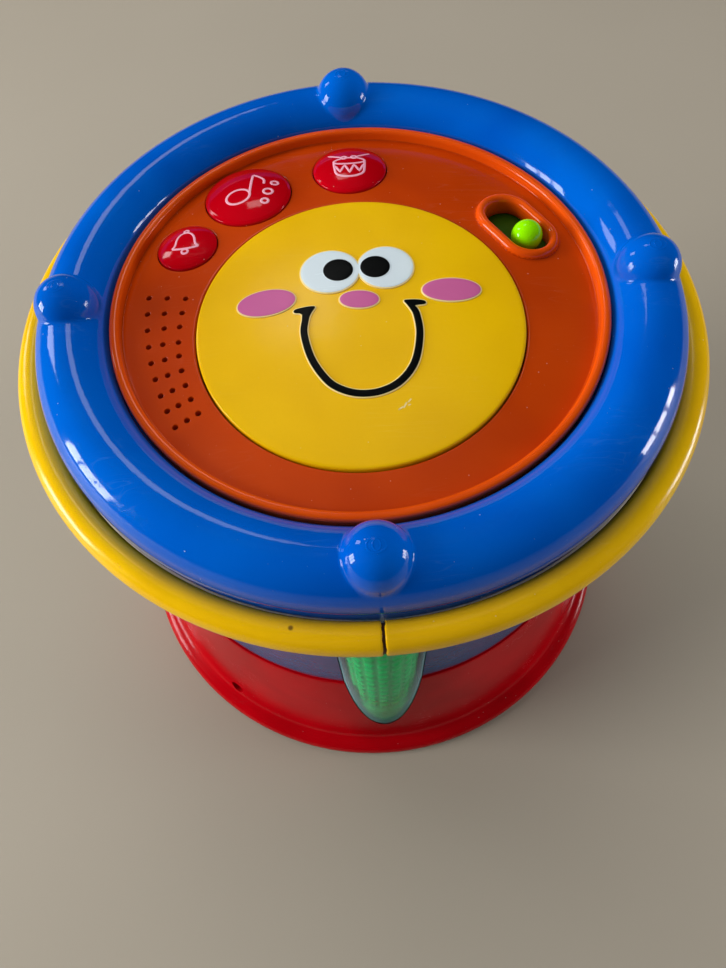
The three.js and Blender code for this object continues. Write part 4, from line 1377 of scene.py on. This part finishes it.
def icons(name, x0, y0, r, surf):
    k = r / 16.6
    body = name + "_button_cap"
    lines = []

    def place(pts):
        return [(x0 + x * k, y0 + y * k) for x, y in pts]

    ring = lambda cx, cy, a, b, deg=0, n=40: [tuple(v) for v in ellipse(cx, cy, a, b, deg, n)]
    if name == "big":
        # a single musical note with three small rings beside it
        lines.append((ring(-3.2, -3.6, 4.6, 3.7, 18), True))
        lines.append((list(map(tuple, catmull([(1.2, -2.6), (1.5, 1.5), (1.9, 6.2), (2.2, 9.2)], 8))), False))
        lines.append((list(map(tuple, catmull([(2.2, 9.2), (4.4, 7.6), (6.4, 5.4), (6.6, 2.6)], 8))), False))
        lines.append((ring(8.2, -2.0, 1.7, 1.5), True))
        lines.append((ring(10.6, 3.2, 1.3, 1.15), True))
        lines.append((ring(7.0, -7.0, 1.3, 1.15), True))
    elif name == "medium":
        # a small drum with two sticks
        lines.append((ring(0, 1.5, 7.0, 2.3), True))
        lines.append((list(map(tuple, catmull([(-7.0, 1.5), (-6.7, -3.0), (-6.0, -6.6), (-3.2, -8.4), (0, -8.9), (3.2, -8.4), (6.0, -6.6), (6.7, -3.0), (7.0, 1.5)], 6))), False))
        lines.append(([(-6.5, -1.3), (-4.3, -5.8), (-2.1, -1.6), (0, -6.6), (2.1, -1.6), (4.3, -5.8), (6.5, -1.3)], False))
        lines.append(([(-9.5, 8.0), (-6.4, 6.1), (-3.2, 4.4)], False))
        lines.append(([(9.5, 8.0), (6.4, 6.1), (3.2, 4.4)], False))
        lines.append((ring(-2.3, 4.2, 1.2, 1.0), True))
        lines.append((ring(2.3, 4.2, 1.2, 1.0), True))
    else:
        # a little bell
        lines.append((list(map(tuple, catmull([(-7.4, -4.2), (-5.6, -2.2), (-4.8, 2.2), (-3.0, 5.6), (0, 6.9), (3.0, 5.6), (4.8, 2.2), (5.6, -2.2), (7.4, -4.2)], 6))), False))
        lines.append((list(map(tuple, catmull([(-7.4, -4.2), (-3.6, -5.2), (0, -5.4), (3.6, -5.2), (7.4, -4.2)], 6))), False))
        lines.append((ring(0, -7.2, 1.7, 1.4), True))
        lines.append((ring(0, 8.4, 1.2, 1.1), True))
    g = M()
    for pts, closed in lines:
        q = place(pts)
        if not closed and len(q) < 10:
            dense = []
            for a, b in zip(q, q[1:]):
                for s in range(5):
                    dense.append((a[0] + (b[0] - a[0]) * s / 5, a[1] + (b[1] - a[1]) * s / 5))
            dense.append(q[-1])
            q = dense
        tube_along(g, q, 0.95 * k**0.4, 0.13, surf, closed)
    o = raw(name + "_button_icon", g)
    done(o, ICON, body=body, sharp=60)


build_buttons()


# ------------------------------------------------------------------ slider knob and its plate
def build_slider():
    sx, sy, sd = SLOT
    c, s = math.cos(rad(sd)), math.sin(rad(sd))
    kx, ky = sx + 5.2 * c, sy + 5.2 * s
    g = M()
    st = lambda d, z: g.add([(px, py, z) for px, py in stadium(sx, sy, sd, 17, 8.6 - d)])
    rs = [st(0.3, 189.4), st(0, 189.65), st(0, 190.5), st(0.3, 190.8)]
    for a, b in zip(rs, rs[1:]):
        g.strip(a, b)
    g.f += [tuple(rs[0]), tuple(rs[-1])]
    o = raw("slider_plate_fine", g)
    # dark olive: painted shade on the lime plate under the slot
    done(o, LIME_PAINTED_SHADE, body="slider", sharp=40)
    prof = [(0, 185.8), (2.0, 185.8), (2.4, 186.2), (2.4, 190.6)]
    for k in range(0, 31):
        t = rad(-64 + (64 + 90) * k / 30)
        prof.append((5.5 * math.cos(t), 196.2 + 5.5 * math.sin(t)))
    prof[-1] = (0, 201.7)
    o = raw("slider_knob_fine", lathe(prof, 96, kx, ky))
    done(o, LIME, body="slider", nodes=("slider_knob",), sharp=50)


build_slider()


# ------------------------------------------------------------------ parts kept from the frame get detailed materials
def dress(node, mat):
    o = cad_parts[node]
    if not o.material_slots:
        o.data.materials.append(mat)
    for sl in o.material_slots:
        sl.material = mat


for n in ("battery_box",):
    dress(n, BLACK)
for n in ("battery_1", "battery_2", "battery_3"):
    dress(n, CELL)
for n in ["battery_door_screw", "battery_contact_left", "battery_contact_right", "slide_switch", "speaker_basket"] \
        + ["housing_screw_%d" % i for i in (1, 2, 3, 4)] + ["pad_spring_%d" % i for i in (1, 2, 3)]:
    dress(n, STEEL)
for n in ("pad_switch", "big_button_switch", "medium_button_switch", "small_button_switch"):
    dress(n, BLACK)
for k in COLUMNS:
    dress("led_board_" + k, BOARD)
    dress("led_" + k, LED)
dress("main_board", BOARD)
dress("speaker_magnet", FERRITE)
dress("speaker_cone", PAPER)


# ------------------------------------------------------------------ floor and light
def floor():
    g = Graph("pale_floor")
    b = g.bsdf
    colour = g.mix(g.noise(0.004, 2.0), lin((168, 159, 144)), lin((160, 151, 136)))
    g.link(colour, b.inputs["Base Color"])
    g.link(g.math("ADD", 0.55, g.math("MULTIPLY", g.noise(0.05, 2.0), 0.05)), b.inputs["Roughness"])
    me = bpy.data.meshes.new("floor")
    s = 6.0
    me.from_pydata([(-s, -s, 0), (s, -s, 0), (s, s, 0), (-s, s, 0)], [], [(0, 1, 2, 3)])
    me.materials.append(g.m)
    o = link("floor", me)


floor()


def area(name, az, el, dist, w, h, power, col=(1, 1, 1)):
    """A window-like lamp seen from the drum at azimuth az (from +Y, clockwise) and elevation el."""
    d = Vector((math.sin(rad(az)) * math.cos(rad(el)), math.cos(rad(az)) * math.cos(rad(el)), math.sin(rad(el))))
    lt = bpy.data.lights.new(name, "AREA")
    lt.shape = "RECTANGLE"
    lt.size, lt.size_y = w, h
    lt.energy = power
    lt.color = col
    o = bpy.data.objects.new(name, lt)
    scene.collection.objects.link(o)
    target = Vector((0, 0, 0.19))
    o.location = target + d * dist
    o.rotation_mode = "QUATERNION"
    o.rotation_quaternion = d.to_track_quat("Z", "Y")
    return o


# two windows, each of three panes
for i, k in enumerate((-1, 0, 1)):
    area("window_left_%d" % (i + 1), -94 + 6.6 * k, 9.0, 1.8, 0.17, 0.58, 3.8, (0.95, 0.98, 1.0))
    area("window_right_%d" % (i + 1), 90 + 6.6 * k, 2.5, 1.8, 0.17, 0.40, 2.6, (0.95, 0.98, 1.0))
area("window_left_low", -55, 26.0, 2.0, 0.30, 0.50, 2.4, (0.95, 0.98, 1.0))
area("lamp_far", -12, 50, 1.9, 0.34, 0.30, 0.8, (1.0, 1.0, 1.0))
fill = area("ceiling", -20, 60, 1.9, 1.6, 1.6, 17, (1.0, 0.985, 0.96))
fill.visible_glossy = False
side = area("daylight_left", -96, 17, 1.9, 1.0, 0.9, 32, (1.0, 0.99, 0.97))
side.visible_glossy = False
side = area("daylight_right", 94, 7, 1.9, 0.7, 0.6, 9, (1.0, 0.99, 0.97))
side.visible_glossy = False

world = bpy.data.worlds.new("studio")
scene.world = world
world.use_nodes = True
world.cycles_visibility.glossy = False
bg = world.node_tree.nodes["Background"]
bg.inputs["Color"].default_value = (0.97, 0.98, 1.0, 1)
bg.inputs["Strength"].default_value = 0.25
